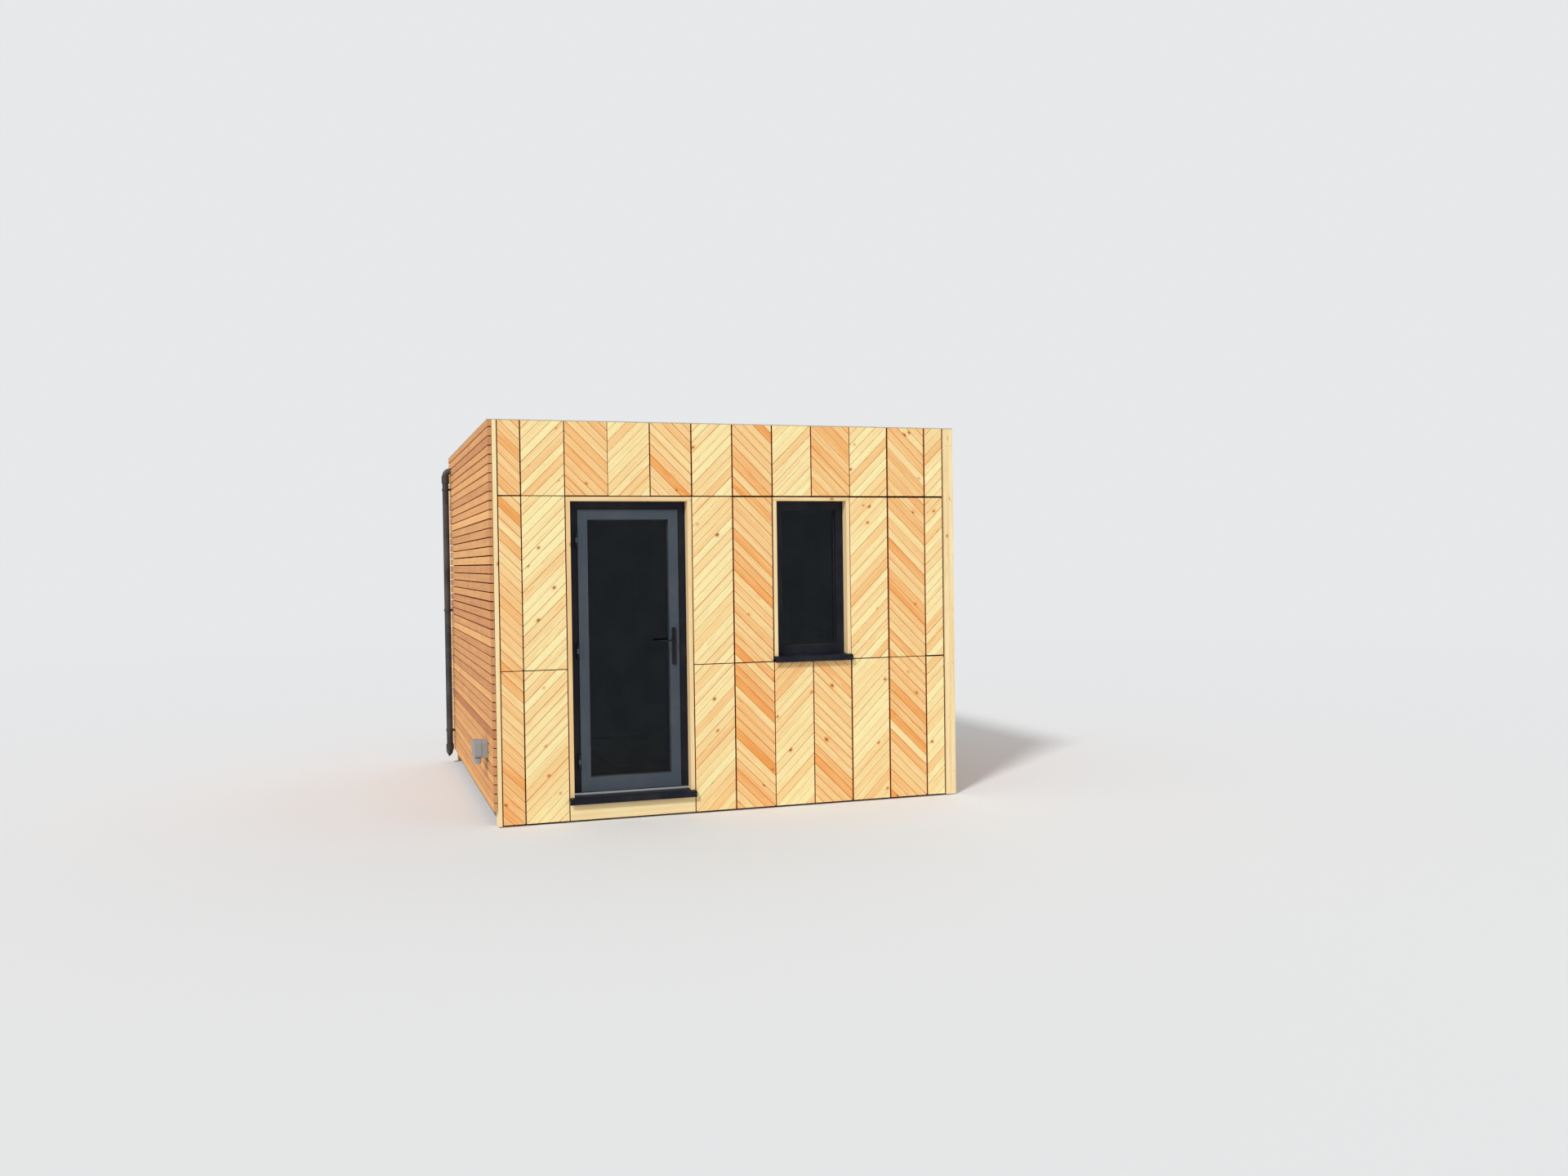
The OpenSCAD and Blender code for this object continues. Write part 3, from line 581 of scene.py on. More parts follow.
# Rings round the heart, bent by noise and pushed aside by the knots
slow = minus(noise(stretched(grain, 1.3, 9.0, 9.0)), 0.5)
quick = minus(noise(stretched(grain, 7.0, 45.0, 45.0), 1.0, 1.0), 0.5)
radius = maths("SQRT", plus(times(across, across), times(through, through)))
for bend, strength in ((slow, 0.030), (quick, 0.0022), (halo, 0.006)):
    radius = times_plus(bend, strength, radius)
phase = over(radius, RING_WIDTH)
within = maths("FRACT", phase)
late = times(spread(within, 0.25, 0.9), spread(within, 1.0, 0.93))
strong = chance_of(maths("FLOOR", phase))
late = times(late, times_plus(strong, 0.6, 0.4))
late = times(late, given["Rings"])

# Streaks and fibres along the grain
streak = noise(stretched(grain, 0.9, 48.0, 48.0), 1.0, 3.0)
fibre = noise(stretched(grain, 14.0, 750.0, 750.0), 1.0, 3.0, 0.65)
cloud = noise(stretched(grain, 3.0, 6.0, 6.0))

# How deep the colour is at each point, and the wood, its fibres, its greying and its knots in turn
depth = times_plus(late, 0.24, times_plus(given["Tone"], 0.85, -0.04))
for change, strength in ((minus(streak, 0.5), 0.55), (minus(cloud, 0.5), 0.35), (halo, 0.42)):
    depth = times_plus(change, strength, depth)
shade = put("ShaderNodeClamp", {"Value": depth}).outputs[0]
wood = blend(shade, given["Pale"], given["Deep"])
fleck = spread(fibre, 0.25, 0.8, 1.07, 0.88)
fleck = put("ShaderNodeCombineColor", {0: fleck, 1: fleck, 2: fleck}).outputs[0]
wood = blend(1.0, wood, fleck, "MULTIPLY")
wear = times(given["Weather"], spread(streak, 0.25, 0.75))
wood = blend(wear, wood, blend(cloud, DRY_GREY, PALE_GREY))
knot_colour = blend(core, blend(lot[2], DEEP_KNOT, PALE_KNOT), KNOT_CORE)
wood = blend(times(knot, 0.85), wood, knot_colour)

rough = times_plus(knot, -0.12, times_plus(late, -0.08, 0.68))
high = times_plus(knot, 0.3, times_plus(late, 0.45, times(fibre, 0.5)))
send(timber, wood, rough, high)

# %% [markdown]
# Each timber of the pod is the same group with its own colours. The front is a pale honey softwood, the slats
# are more orange, and the bearers below are brown and rough. The grain comes from the stamped attributes.

# %% Timber materials
def timber_material(name, pale, deep, knots, rings, weather, sawn=(172, 122, 96), soaked=0.45):
    """sawn is the colour of the sawn ends, and soaked says how much of it shows."""
    made, tree = new_material(name, Specular_IOR_Level=0.35)
    inputs = {"Grain": stamped(tree, "grain", "Vector"), "Tone": stamped(tree, "tone"), "Knots": knots,
              "Pale": colour(*pale), "Deep": colour(*deep), "Rings": rings, "Weather": weather}
    results = put("ShaderNodeGroup", inputs, node_tree=timber).outputs
    ends = times(stamped(tree, "end_grain"), soaked)
    tint = blend(ends, results["Colour"], colour(*sawn))
    finish_shader(tree, tint, results["Roughness"], results["Height"], 0.00025)
    return made


# The front boards' sawn ends are darker and redder than other timber's. This is partly end grain, and partly
# painted shade and painted bounced light in the open joints, where these ends show.
panel_timber = timber_material("panel_timber", (253, 238, 176), (241, 153, 64), 0.18, 1.0, 0.04,
                               (180, 74, 18), 0.95)
slat_timber = timber_material("slat_timber", (246, 186, 112), (182, 104, 48), 0.14, 0.8, 0.05)
trim_timber = timber_material("trim_timber", (254, 239, 187), (228, 170, 104), 0.16, 0.8, 0.04)
dark_timber = timber_material("bearer_timber", (120, 98, 70), (62, 48, 34), 0.3, 0.8, 0.4)
print("timber materials ready")

# %% [markdown]
# ## Coated metal, plastic and the rest
#
# Powder coat has a fine orange-peel surface and a little dust that settles in it. Moulded plastic has a finer
# texture. Both come from one group, with the size of the texture and the amount of dust as inputs.

# %% Coat group and its materials
coat, given = new_group("Coated surface", {
    "Place": None, "Body colour": (0.1, 0.1, 0.1, 1), "Dust colour": (0.4, 0.38, 0.34, 1), "Dust": 0.08,
    "Texture size": 0.0012, "Polish": 0.42})
fine = vectors("SCALE", given["Place"])
coat.links.new(over(1.0, given["Texture size"]), fine.node.inputs["Scale"])
patch = noise(given["Place"], 5.0, 4.0, 0.6)
speck = noise(given["Place"], 160.0)
settled = times(spread(patch, 0.35, 0.75), spread(speck, 0.3, 0.8, 0.4, 1.0))
settled = times(settled, given["Dust"])
body = blend(times(patch, 0.12), given["Body colour"], (0.0, 0.0, 0.0, 1.0))
rough = times_plus(settled, 1.6, times_plus(patch, 0.10, given["Polish"]))
send(coat, blend(settled, body, given["Dust colour"]), rough, noise(fine))


def coated(name, body, polish, dust, size=0.0012, relief=0.00002, **shader):
    """Material with a coat. size is that of its texture, and relief is its height."""
    made, tree = new_material(name, **shader)
    inputs = {"Place": object_place(tree), "Body colour": colour(*body), "Dust": dust, "Texture size": size,
              "Polish": polish}
    results = put("ShaderNodeGroup", inputs, node_tree=coat).outputs
    finish_shader(tree, results["Colour"], results["Roughness"], results["Height"], relief)
    return made


# The frame and the leaf wear one powder coat in truth. The frame's copy is darker and bluer, which is painted
# shade and a painted sky reflection. The leaf's copy is lighter, which is painted light.
frame_coat_painted_shade = coated("frame_coat_painted_shade", (17, 20, 32), 0.42, 0.05, Specular_IOR_Level=0.18)
leaf_coat_painted_light = coated("leaf_coat_painted_light", (63, 72, 83), 0.42, 0.08, Specular_IOR_Level=0.3)
threshold_alloy = coated("threshold_metal", (196, 199, 200), 0.36, 0.25, Metallic=0.9)
capping_metal = coated("capping", (196, 188, 172), 0.48, 0.3)
handle_black = coated("handle_metal", (15, 16, 19), 0.38, 0.04, Specular_IOR_Level=0.22)
lock_metal = coated("lock_metal", (205, 202, 192), 0.24, 0.05, Metallic=1.0)
screw_metal = coated("screw_metal", (176, 146, 104), 0.45, 0.3, Metallic=0.5)
grey_plastic = coated("grey_plastic", (150, 154, 157), 0.50, 0.15, 0.0008)
black_plastic = coated("black_plastic", (42, 43, 45), 0.40, 0.2, 0.0009)
gasket_rubber = coated("gasket_rubber", (22, 22, 23), 0.60, 0.1, 0.0006)
spacer_metal = coated("spacer_bar", (120, 122, 124), 0.45, 0.02, Metallic=0.7)
membrane = coated("membrane", (54, 55, 57), 0.72, 0.14, 0.004, 0.0004)
ceiling_paint = coated("ceiling_paint", (226, 224, 216), 0.62, 0.05, 0.003, 0.00006)
print("coated materials ready")

# %% [markdown]
# ## Glass, walls, floor boards and sheathing
#
# Float glass is almost colourless. These panes have a mid grey tint, dimmed reflections and a faint film. The
# tint and the dimmed reflections are painted shade, so the panes look as dark as glass with an unlit room
# behind it. The walls carry a dark red-brown breather membrane outside, which darkens the gaps between the
# boards. Its red-brown is partly its own colour and partly painted bounced light. Inside, the walls carry
# painted boards. Those surfaces are told apart by their distance from the middle of the pod, read from Object
# coordinates. What lies between them is the edge of the wall's own sheets.

# %% Glass
# The grey tint and the dimmed reflections are painted shade: they make the panes look as dark as glass with
# an unlit room behind it.
clear_glass, tree = new_material("glass", Transmission_Weight=1.0, Roughness=0.0, IOR=1.5,
                                 Specular_Tint=(0.20, 0.22, 0.25, 1.0))
film = spread(noise(object_place(tree), 3.0, 4.0), 0.3, 0.8)
tint = blend(film, (0.54, 0.57, 0.58, 1), (0.46, 0.49, 0.50, 1))
tree.links.new(tint, tree.nodes["Principled BSDF"].inputs["Base Color"])
print("glass ready")

# %% Walls: membrane outside, painted boards inside
wall_low, wall_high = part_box("left_wall")
NEAR_OUTER_FACE = -wall_low.x - 0.001
NEAR_INNER_FACE = -wall_high.x + 0.0015
LINING_BOARD = 0.120
# The membrane's red-brown is partly its own dark colour and partly painted bounced light: the warm glow that
# sunlit boards throw into the gaps.
MEMBRANE_SMOOTH_WITH_BOUNCE, MEMBRANE_CREASED_WITH_BOUNCE = (0.045, 0.014, 0.006, 1), (0.075, 0.026, 0.010, 1)

wall_layers, tree = new_material("wall_panel", Specular_IOR_Level=0.12)
place = object_place(tree)
away = split(vectors("ABSOLUTE", place))
out = maths("MAXIMUM", away[0], away[1])
outside = maths("GREATER_THAN", out, NEAR_OUTER_FACE)
inner = maths("LESS_THAN", out, NEAR_INNER_FACE)
crinkle = noise(place, 26.0, 4.0)
weave = noise(stretched(place, 900.0, 900.0, 900.0), 1.0, 1.0)
# Membrane colour, with painted bounced light in its red-brown.
membrane_with_bounce = blend(crinkle, MEMBRANE_SMOOTH_WITH_BOUNCE, MEMBRANE_CREASED_WITH_BOUNCE)
ply = noise(stretched(place, 4.0, 4.0, 120.0), 1.0, 4.0)
ply = blend(ply, colour(206, 176, 128), colour(168, 132, 88))
parts = split(place)
run = maths("FRACT", over(plus(parts[0], parts[1]), LINING_BOARD))
groove = times(spread(run, 0.03, 0.0), inner)
paint = spread(noise(place, 1.6, 3.0), 0.3, 0.7)
paint = blend(paint, colour(218, 214, 204), colour(208, 203, 192))
paint = blend(times(groove, 0.55), paint, colour(120, 116, 108))
tint = blend(inner, blend(outside, ply, membrane_with_bounce), paint)
high = times_plus(crinkle, times(outside, 2.0), times(weave, 0.1))
high = minus(high, times(groove, 1.5))
finish_shader(tree, tint, times_plus(crinkle, 0.2, 0.55), high, 0.0006)
print("wall layers ready")

# %% Floor boards in staggered rows
BOARD_W, BOARD_L = 0.142, 1.22

floor_boards, tree = new_material("floor_board")
x, y, z = split(object_place(tree))
course = over(x, BOARD_W)
row = maths("FLOOR", course)
step = plus(over(y, BOARD_L), chance_of(row))
own = chance_of(times_plus(row, 17.0, maths("FLOOR", step)))
side = maths("FRACT", course)
end_seam = spread(maths("FRACT", step), 0.0015, 0.0)
seam = maths("MAXIMUM", spread(side, 0.012, 0.0), end_seam)
heart = minus(times(side, BOARD_W), BOARD_W / 2)
inputs = {0: times_plus(own, 50.0, y), 1: heart, 2: times_plus(own, 0.03, 0.02)}
where = put("ShaderNodeCombineXYZ", inputs).outputs[0]
inputs = {"Grain": where, "Tone": own, "Pale": colour(196, 158, 112), "Deep": colour(140, 98, 60),
          "Knots": 0.15, "Rings": 0.7, "Weather": 0.0}
results = put("ShaderNodeGroup", inputs, node_tree=timber).outputs
tint = blend(times(seam, 0.8), results["Colour"], colour(46, 32, 22))
high = minus(results["Height"], times(seam, 3.0))
finish_shader(tree, tint, times(results["Roughness"], 0.75), high, 0.0003)
print("floor boards ready")

# %% Sheathing of pressed flakes
sheathing, tree = new_material("sheathing")
place = object_place(tree)
flakes = put("ShaderNodeTexVoronoi", {"Vector": stretched(place, 26.0, 34.0, 60.0), "Scale": 1.0})
lot = put("ShaderNodeSeparateColor", {0: flakes.outputs["Color"]}).outputs
tint = blend(lot[0], colour(196, 164, 112), colour(142, 108, 68))
mottle = noise(place, 40.0, 4.0)
tint = blend(times(mottle, 0.4), tint, colour(96, 72, 46))
finish_shader(tree, tint, times_plus(mottle, 0.2, 0.6), lot[1], 0.0003)
print("sheathing ready")

# %% [markdown]
# ## The front boards
#
# The front is a field of panels in three rows. In each panel the boards run at 45 degrees, and the direction
# changes from panel to panel, which makes the arrow pattern. The boards could each be drawn to shape, but a
# joiner lays them long and saws the panel to size. So a long board is copied at its pitch, the lot is turned
# by 45 degrees about the panel's lower corner, and four saw cuts leave the panel. The boards rise towards the
# right in the even strips and towards the left in the odd ones. Timber shrinks unevenly, so each joint has a
# width of its own, and the tongue of the next board shows as a brown line inside the wider ones. The open
# joints between the panels differ too, because each panel was sawn and hung by hand. A short table holds
# their widths, and a panel is sawn to them.

# %% Sizes of the front
PITCH_UP = 0.0677
PITCH_SQUARE = PITCH_UP / math.sqrt(2)
BOARD_T = 0.0185
BOARD_ARRIS = 0.0018
SAWN_ARRIS = 0.0006
TIGHT_JOINT, OPEN_JOINT = (0.0012, 0.0020), (0.0020, 0.0036)
UNEVEN_FACE = (0.0001, 0.0011)
TONGUE_DEPTH, TONGUE_T, TONGUE_REACH = 0.0090, 0.0050, 0.005
TONGUE_SHORT = 0.0008
SPARE = 0.01
# Boards rising to the right are paler and those rising to the left deeper. This is a painted sheen, for the
# light that the grain throws back differently at the two angles.
SHEEN_TONE_RIGHT, SHEEN_TONE_LEFT = 0.20, 0.56
PLAIN_JOINT = 0.009
# Upright joints from left to right in each row, and level joints from strip to strip, in millimetres
UPRIGHT_JOINTS = {"top": (6.5, 7.7, 6.0, 3.4, 7.1, 9.0, 8.6, 9.0, 7.4, 4.6, 11.0, 10.0, 12.0),
                  "middle": (6.1, 6.6, 7.0, 9.0, 9.0, 6.0, 9.3, 10.5, 9.0, 4.2, 11.0, 8.5, 13.0),
                  "bottom": (6.1, 7.4, 6.6, 9.0, 9.0, 6.5, 8.6, 5.5, 7.0, 10.0, 10.0, 9.5, 12.0)}
LEVEL_JOINTS = {"upper": (7.8, 4.9, 8.0, 6.5, 8.0, 7.2, 10.5, 9.5, 10.5, 10.5, 12.0, 11.0),
                "lower": (4.4, 5.3, 9.0, 9.0, 9.0, 5.2, 6.4, 9.0, 10.0, 6.2, 4.8, 9.0)}


def panel_boxes(node):
    """The boxes of the panels of one row, from left to right."""
    boxes = []
    for part in loose_parts(from_cad(node, "measure")):
        points = [v.co for v in part.data.vertices]
        boxes.append([Vector([edge(p[i] for p in points) for i in range(3)]) for edge in (min, max)])
        bpy.data.objects.remove(part)
    return boxes


rows = {row: panel_boxes("front_panels_" + row) for row in ("top", "middle", "bottom")}
strip_edges = [low.x for low, high in rows["top"]]
print("strips:", len(strip_edges), "pitch of the boards:", round(PITCH_SQUARE * 1000, 2), "mm")


# %% The box of each panel with its own joints
def strip_number(low):
    """Number of the strip that a panel stands in, counted from 1 at the left."""
    return 1 + min(range(len(strip_edges)), key=lambda i: abs(strip_edges[i] - low.x))


def growth(millimetres, x, z):
    """How far a panel grows at one edge. x, z is beyond the joint, where another panel takes half of it."""
    shared = any(low.x < x < high.x and low.z < z < high.z for boxes in rows.values() for low, high in boxes)
    return (PLAIN_JOINT - millimetres / 1000) * (0.5 if shared else 1.0)


def hung(row, low, high):
    """The box of a panel with its own joints round it."""
    strip = strip_number(low)
    x, z = (low.x + high.x) / 2, (low.z + high.z) / 2
    past = PLAIN_JOINT + 0.001
    left, right = UPRIGHT_JOINTS[row][strip - 1:strip + 1]
    upper, lower = LEVEL_JOINTS["upper"][strip - 1], LEVEL_JOINTS["lower"][strip - 1]
    a, b = low.copy(), high.copy()
    a.x -= growth(left, low.x - past, z)
    b.x += growth(right, high.x + past, z)
    if row != "bottom":
        a.z -= growth(upper if row == "top" else lower, x, low.z - past)
    if row != "top":
        b.z += growth(upper if row == "middle" else lower, x, high.z + past)
    return a, b


print("first panel:", [round(v, 4) for v in hung("top", *rows["top"][0])[0]])


# %% One panel of boards
def joint_width(draw):
    """Some boards almost touch, and others have shrunk apart."""
    return draw.uniform(*(TIGHT_JOINT if draw.random() < 0.5 else OPEN_JOINT))


def plane_to_width(board, lower, upper):
    """Takes some wood off the lower and the upper edge of a board, and leaves its arrises as they are."""
    heights = [v.co.z for v in board.data.vertices]
    middle = (min(heights) + max(heights)) / 2
    for v in board.data.vertices:
        v.co.z += lower if v.co.z < middle else -upper


def board_panel(low, high, sawn_low, sawn_high, draw):
    """Boards at 45 degrees, laid from the corner of the plain box and sawn to the panel's own box."""
    rises_right = strip_number(low) % 2 == 0
    width, height = high.x - low.x, high.z - low.z
    length = (width + height) / math.sqrt(2) + 2 * SPARE
    start, stop = (-SPARE, length) if rises_right else (-length, SPARE)
    long_board = block("long_board", (start, 0, 0), (stop, BOARD_T, PITCH_SQUARE))
    round_edges(long_board, runs_along(0), BOARD_ARRIS)
    long_tongue = block("long_tongue", (start, TONGUE_DEPTH, -TONGUE_REACH),
                        (stop, TONGUE_DEPTH + TONGUE_T, TONGUE_REACH))
    boards, tongues = [], []
    joint = joint_width(draw)
    for k in range(math.floor(-width / PITCH_UP) - 1, math.ceil(height / PITCH_UP) + 1):
        board = copy_of(long_board, "board", (0, draw.uniform(*UNEVEN_FACE), k * PITCH_SQUARE))
        tongue = copy_of(long_tongue, "tongue", (0, 0, k * PITCH_SQUARE))
        next_joint = joint_width(draw)
        plane_to_width(board, joint / 2, next_joint / 2)
        joint = next_joint
        # The usual tone carries the painted sheen of the board's direction.
        usual = SHEEN_TONE_RIGHT if rises_right else SHEEN_TONE_LEFT
        stamp(board, "X", draw, board_tone(draw, usual, spread_by=0.13, odd_share=0.12, odd_by=0.26))
        stamp(tongue, "X", draw, 1.0)
        boards.append(board)
        tongues.append(tongue)
    bpy.data.objects.remove(long_board)
    bpy.data.objects.remove(long_tongue)
    short = Vector((TONGUE_SHORT, 0, TONGUE_SHORT))
    layers = []
    for pieces, a, b in ((boards, sawn_low, sawn_high), (tongues, sawn_low + short, sawn_high - short)):
        layer = join(pieces, "layer")
        layer.rotation_euler = (0, math.radians(-45 if rises_right else 45), 0)
        layer.location = (low.x if rises_right else high.x, low.y, low.z)
        settle(layer)
        for point, normal in ((a, (-1, 0, 0)), (a, (0, 0, -1)), (b, (1, 0, 0)), (b, (0, 0, 1))):
            saw(layer, point, normal)
        layers.append(layer)
    panel = ease(join(layers, "panel"), SAWN_ARRIS, 44, 1, clamp=False)
    mark_ends(panel, [(axis, corner[axis]) for corner in (sawn_low, sawn_high) for axis in (0, 2)])
    return panel


# %% The three rows
for row, seed in (("top", 11), ("middle", 23), ("bottom", 37)):
    draw = random.Random(seed)
    panels = [board_panel(low, high, *hung(row, low, high), draw) for low, high in rows[row]]
    front = join(panels, "front_boards_" + row)
    finish_piece(front, "building", panel_timber, ["front_panels_" + row])

# %% [markdown]
# ## The slats
#
# The other three sides have horizontal slats with open gaps. One slat is a long cube with rounded arrises,
# and each of the rest is made the same way, with its own gap and set back by its own amount, as sawn boards
# are. The outlet pipe passes through the left side, so the slats in its way are drilled with a boolean before
# all are joined.

# %% Slats of the three sides
SLAT_PITCH = 0.05605
SLAT_GAPS = (0.0062, 0.0090)
FIRST_GAP = 2.451
LEAST_SLAT = 0.024
SLAT_ARRIS = 0.0025
BEHIND_SLAT = 0.002
PIPE_Z, PIPE_HOLE = 2.380, 0.0253


def slat_levels(bottom, top, draw):
    """Lower and upper edge of every slat, from the top down."""
    edges = [top]
    z = FIRST_GAP
    while z > bottom + LEAST_SLAT:
        half = draw.uniform(*SLAT_GAPS) / 2
        edges += [z + half, z - half]
        z -= SLAT_PITCH
    edges.append(bottom)
    return [(edges[i + 1], edges[i]) for i in range(0, len(edges), 2)]


def slatted_wall(node, axis, outward, seed, pipe_y=None):
    """Slats in the box of a CAD cladding. outward is 1 or -1, the side of its other axis that they face."""
    low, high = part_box(node)
    draw = random.Random(seed)
    run, face = (1, 0) if axis == "Y" else (0, 1)
    slats = []
    for bottom, top in slat_levels(low.z, high.z, draw):
        a, b = low.copy(), high.copy()
        a.z, b.z = bottom, top
        a[run] += draw.uniform(0.0, 0.0015)
        b[run] -= draw.uniform(0.0, 0.0020)
        back_set = draw.uniform(0.0002, 0.0016)
        a[face] += BEHIND_SLAT if outward > 0 else back_set
        b[face] -= back_set if outward > 0 else BEHIND_SLAT
        slat = block("slat", a, b)
        round_edges(slat, runs_along(run), SLAT_ARRIS)
        if pipe_y and bottom < PIPE_Z + PIPE_HOLE and top > PIPE_Z - PIPE_HOLE:
            bore(slat, rod("drill", "X", PIPE_HOLE, 0.1, ((a.x + b.x) / 2, pipe_y, PIPE_Z), 48))
        stamp(slat, axis, draw, board_tone(draw, usual=0.42, spread_by=0.20, odd_share=0.10, odd_by=0.30))
        ease(slat, 0.0008, 50, 1)
        mark_ends(slat, [(run, a[run]), (run, b[run])])
        slats.append(slat)
    wall = join(slats, node.replace("cladding", "slats"))
    finish_piece(wall, "building", slat_timber, [node])


outlet_low, outlet_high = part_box("roof_outlet")
slatted_wall("left_cladding", "Y", -1, 5, (outlet_low.y + outlet_high.y) / 2)
slatted_wall("right_cladding", "Y", 1, 6)
slatted_wall("back_cladding", "X", 1, 7)

# %% [markdown]
# ## Trims, linings and hidden timber
#
# The remaining timber pieces already have the right shape in the frame. A copy of each is merged, cut into
# the boards that a joiner would use, stamped with its own grain and eased at its edges. The reveal linings
# are two posts and a head, so the ring is sawn along the underside of the head. The cut runs a hair below
# that face, because bisect can't close a cut that lies in a face, and the weld after it takes the hair away.

# %% Boards from the CAD solids
HAIR = 0.00005


def boards_from(node, name, axis, seed, tone=0.35, ease_by=0.0015, head_z=None, dark=False):
    """Boards with the shape of a CAD node. What lies above head_z is the head, whose grain runs along X."""
    draw = random.Random(seed)
    rest = from_cad(node, name)
    made = []
    if head_z:
        cut = (0, 0, head_z - HAIR)
        head = copy_of(rest, "head")
        saw(rest, cut, (0, 0, 1))
        saw(head, cut, (0, 0, -1))
        weld(head, 2 * HAIR)
        made += [(part, "X") for part in loose_parts(head)]
    made += [(part, axis) for part in loose_parts(rest)]
    for part, along in made:
        stamp(part, along, draw, tone + draw.gauss(0, 0.12))
        ease(part, ease_by)
    slot, material = ("bearer_timber", dark_timber) if dark else ("trim_timber", trim_timber)
    finish_piece(join([part for part, along in made], name), "building", material, [node])


boards_from("front_corner_trims", "front_corner_boards", "Z", 41)
boards_from("right_corner_cover", "right_corner_strip", "Z", 42)
boards_from("back_corner_trims", "back_corner_boards", "Z", 43)
boards_from("door_plinth", "door_plinth_board", "X", 44, 0.5)
boards_from("door_lining", "door_reveal", "Z", 45, 0.66, head_z=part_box("door_frame")[1].z)
boards_from("window_lining", "window_reveal", "Z", 46, 0.5, head_z=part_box("window_frame")[1].z)
# The battens take the dark bearer timber. This is partly painted shade, which keeps the gaps between the
# slats dark.
boards_from("battens", "batten_rows", "Z", 47, 0.6, dark=True)
boards_from("base_bearers", "bearers", "Y", 48, 0.5, 0.003, dark=True)

# %% [markdown]
# ## Metal frames with mitred corners
#
# A metal frame is four lengths of profile, cut at 45 degrees where they meet. Only the door frame has three,
# because the threshold closes it below. The CAD ring is copied once for each side. One saw cut through the
# middle of the ring takes the opposite length off, and a cut through each corner leaves one length. Its
# sharp edges are eased by about half a millimetre, so a fine line shows at each mitre and the edges catch
# the light.

# %% Frames from four mitred lengths
INWARD = {"L": (1, 0, 0), "R": (-1, 0, 0), "T": (0, 0, -1), "B": (0, 0, 1)}
METAL_ARRIS = 0.0006


def mitred(node, name, body, outer, inner, material, sides="LRTB"):
    """Ring of a CAD node sawn into lengths. outer and inner are (x0, z0, x1, z1) of the ring's edges."""
    middle = Vector(((outer[0] + outer[2]) / 2, 0, (outer[1] + outer[3]) / 2))
    lengths = []
    for side in sides:
        length = from_cad(node, name)
        saw(length, middle, INWARD[side])
        for other in ("TB" if side in "LR" else "LR"):
            if other not in sides:
                continue
            x = 0 if "L" in side + other else 2
            z = 1 if "B" in side + other else 3
            corner = Vector((outer[x], 0, outer[z]))
            normal = Vector((inner[z] - corner.z, 0, corner.x - inner[x])).normalized()
            # The side of the cut that stays is the one where the middle of this length lies
            to_middle = middle - corner
            to_middle[0 if side in "LR" else 2] = 0
            saw(length, corner, -normal if normal.dot(to_middle) > 0 else normal)
        lengths.append(ease(length, METAL_ARRIS))
    finish_piece(join(lengths, name), body, material, [node])


def edges_of(node):
    low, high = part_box(node)
    return (low.x, low.z, high.x, high.z)


def grown(ring, by):
    return (ring[0] - by, ring[1] - by, ring[2] + by, ring[3] + by)


STILE, BOTTOM_RAIL, COVER, JAMB, WINDOW_BAR = 0.062, 0.090, 0.014, 0.064, 0.055
LEAF, FRAME, WINDOW = edges_of("door_leaf"), edges_of("door_frame"), edges_of("window_frame")
LIGHT = (LEAF[0] + STILE, LEAF[1] + BOTTOM_RAIL, LEAF[2] - STILE, LEAF[3] - STILE)
OPENING = (FRAME[0] + JAMB, FRAME[1], FRAME[2] - JAMB, FRAME[3] - JAMB)
PANE = grown(WINDOW, -WINDOW_BAR)
# The frames and the window bead take the coat with painted shade, and the leaf and its bead take the coat
# with painted light.
mitred("door_frame", "door_frame_lengths", "building", FRAME, OPENING, frame_coat_painted_shade, "LRT")
mitred("door_leaf", "door_leaf_lengths", "door", LEAF, LIGHT, leaf_coat_painted_light)
mitred("door_bead", "door_glazing_bead", "door", grown(LIGHT, COVER), LIGHT, leaf_coat_painted_light)
mitred("window_frame", "window_frame_lengths", "building", WINDOW, PANE, frame_coat_painted_shade)
mitred("window_bead", "window_glazing_bead", "building", grown(PANE, COVER), PANE, frame_coat_painted_shade)

# %% [markdown]
# ## Sills, threshold, capping, handles and pipes
#
# These solids keep their CAD shape as well. A merged copy with eased edges and smooth shading on its curved
# faces takes the place of each, so that the pipes and knuckles look round. The hinges wear the coat of what
# they are screwed to, so they hardly stand out.

# %% Metal and plastic pieces with eased edges
# The sills and the frame's hinge halves take the coat with painted shade, and the leaf's hinge halves take
# the coat with painted light.
for node, name, body, slot, material, width in (
        ("door_sill", "door_sill_pressing", "building", "grey_frame", frame_coat_painted_shade, 0.0012),
        ("window_sill", "window_sill_pressing", "building", "grey_frame", frame_coat_painted_shade, 0.0012),
        ("door_threshold", "threshold_strip", "building", "threshold_metal", threshold_alloy, 0.0010),
        ("edge_capping", "roof_edge_capping", "building", "capping", capping_metal, 0.0012),
        ("hinge_frame_halves", "hinges_on_frame", "building", "hinge_metal", frame_coat_painted_shade, 0.0004),
        ("hinge_leaf_halves", "hinges_on_leaf", "door", "hinge_metal", leaf_coat_painted_light, 0.0004),
        ("handle_plates", "door_handle_plates", "door", "handle_metal", handle_black, 0.0012),
        ("lever_handle", "door_lever", "lever", "handle_metal", handle_black, 0.0006),
        ("roof_outlet", "rainwater_outlet", "building", "black_plastic", black_plastic, 0.0006),
        ("downpipe", "rainwater_pipe", "building", "black_plastic", black_plastic, 0.0006),
        ("pipe_clips", "rainwater_clips", "building", "black_plastic", black_plastic, 0.0008)):
    finish_piece(ease(from_cad(node, name), width), body, material, [node])

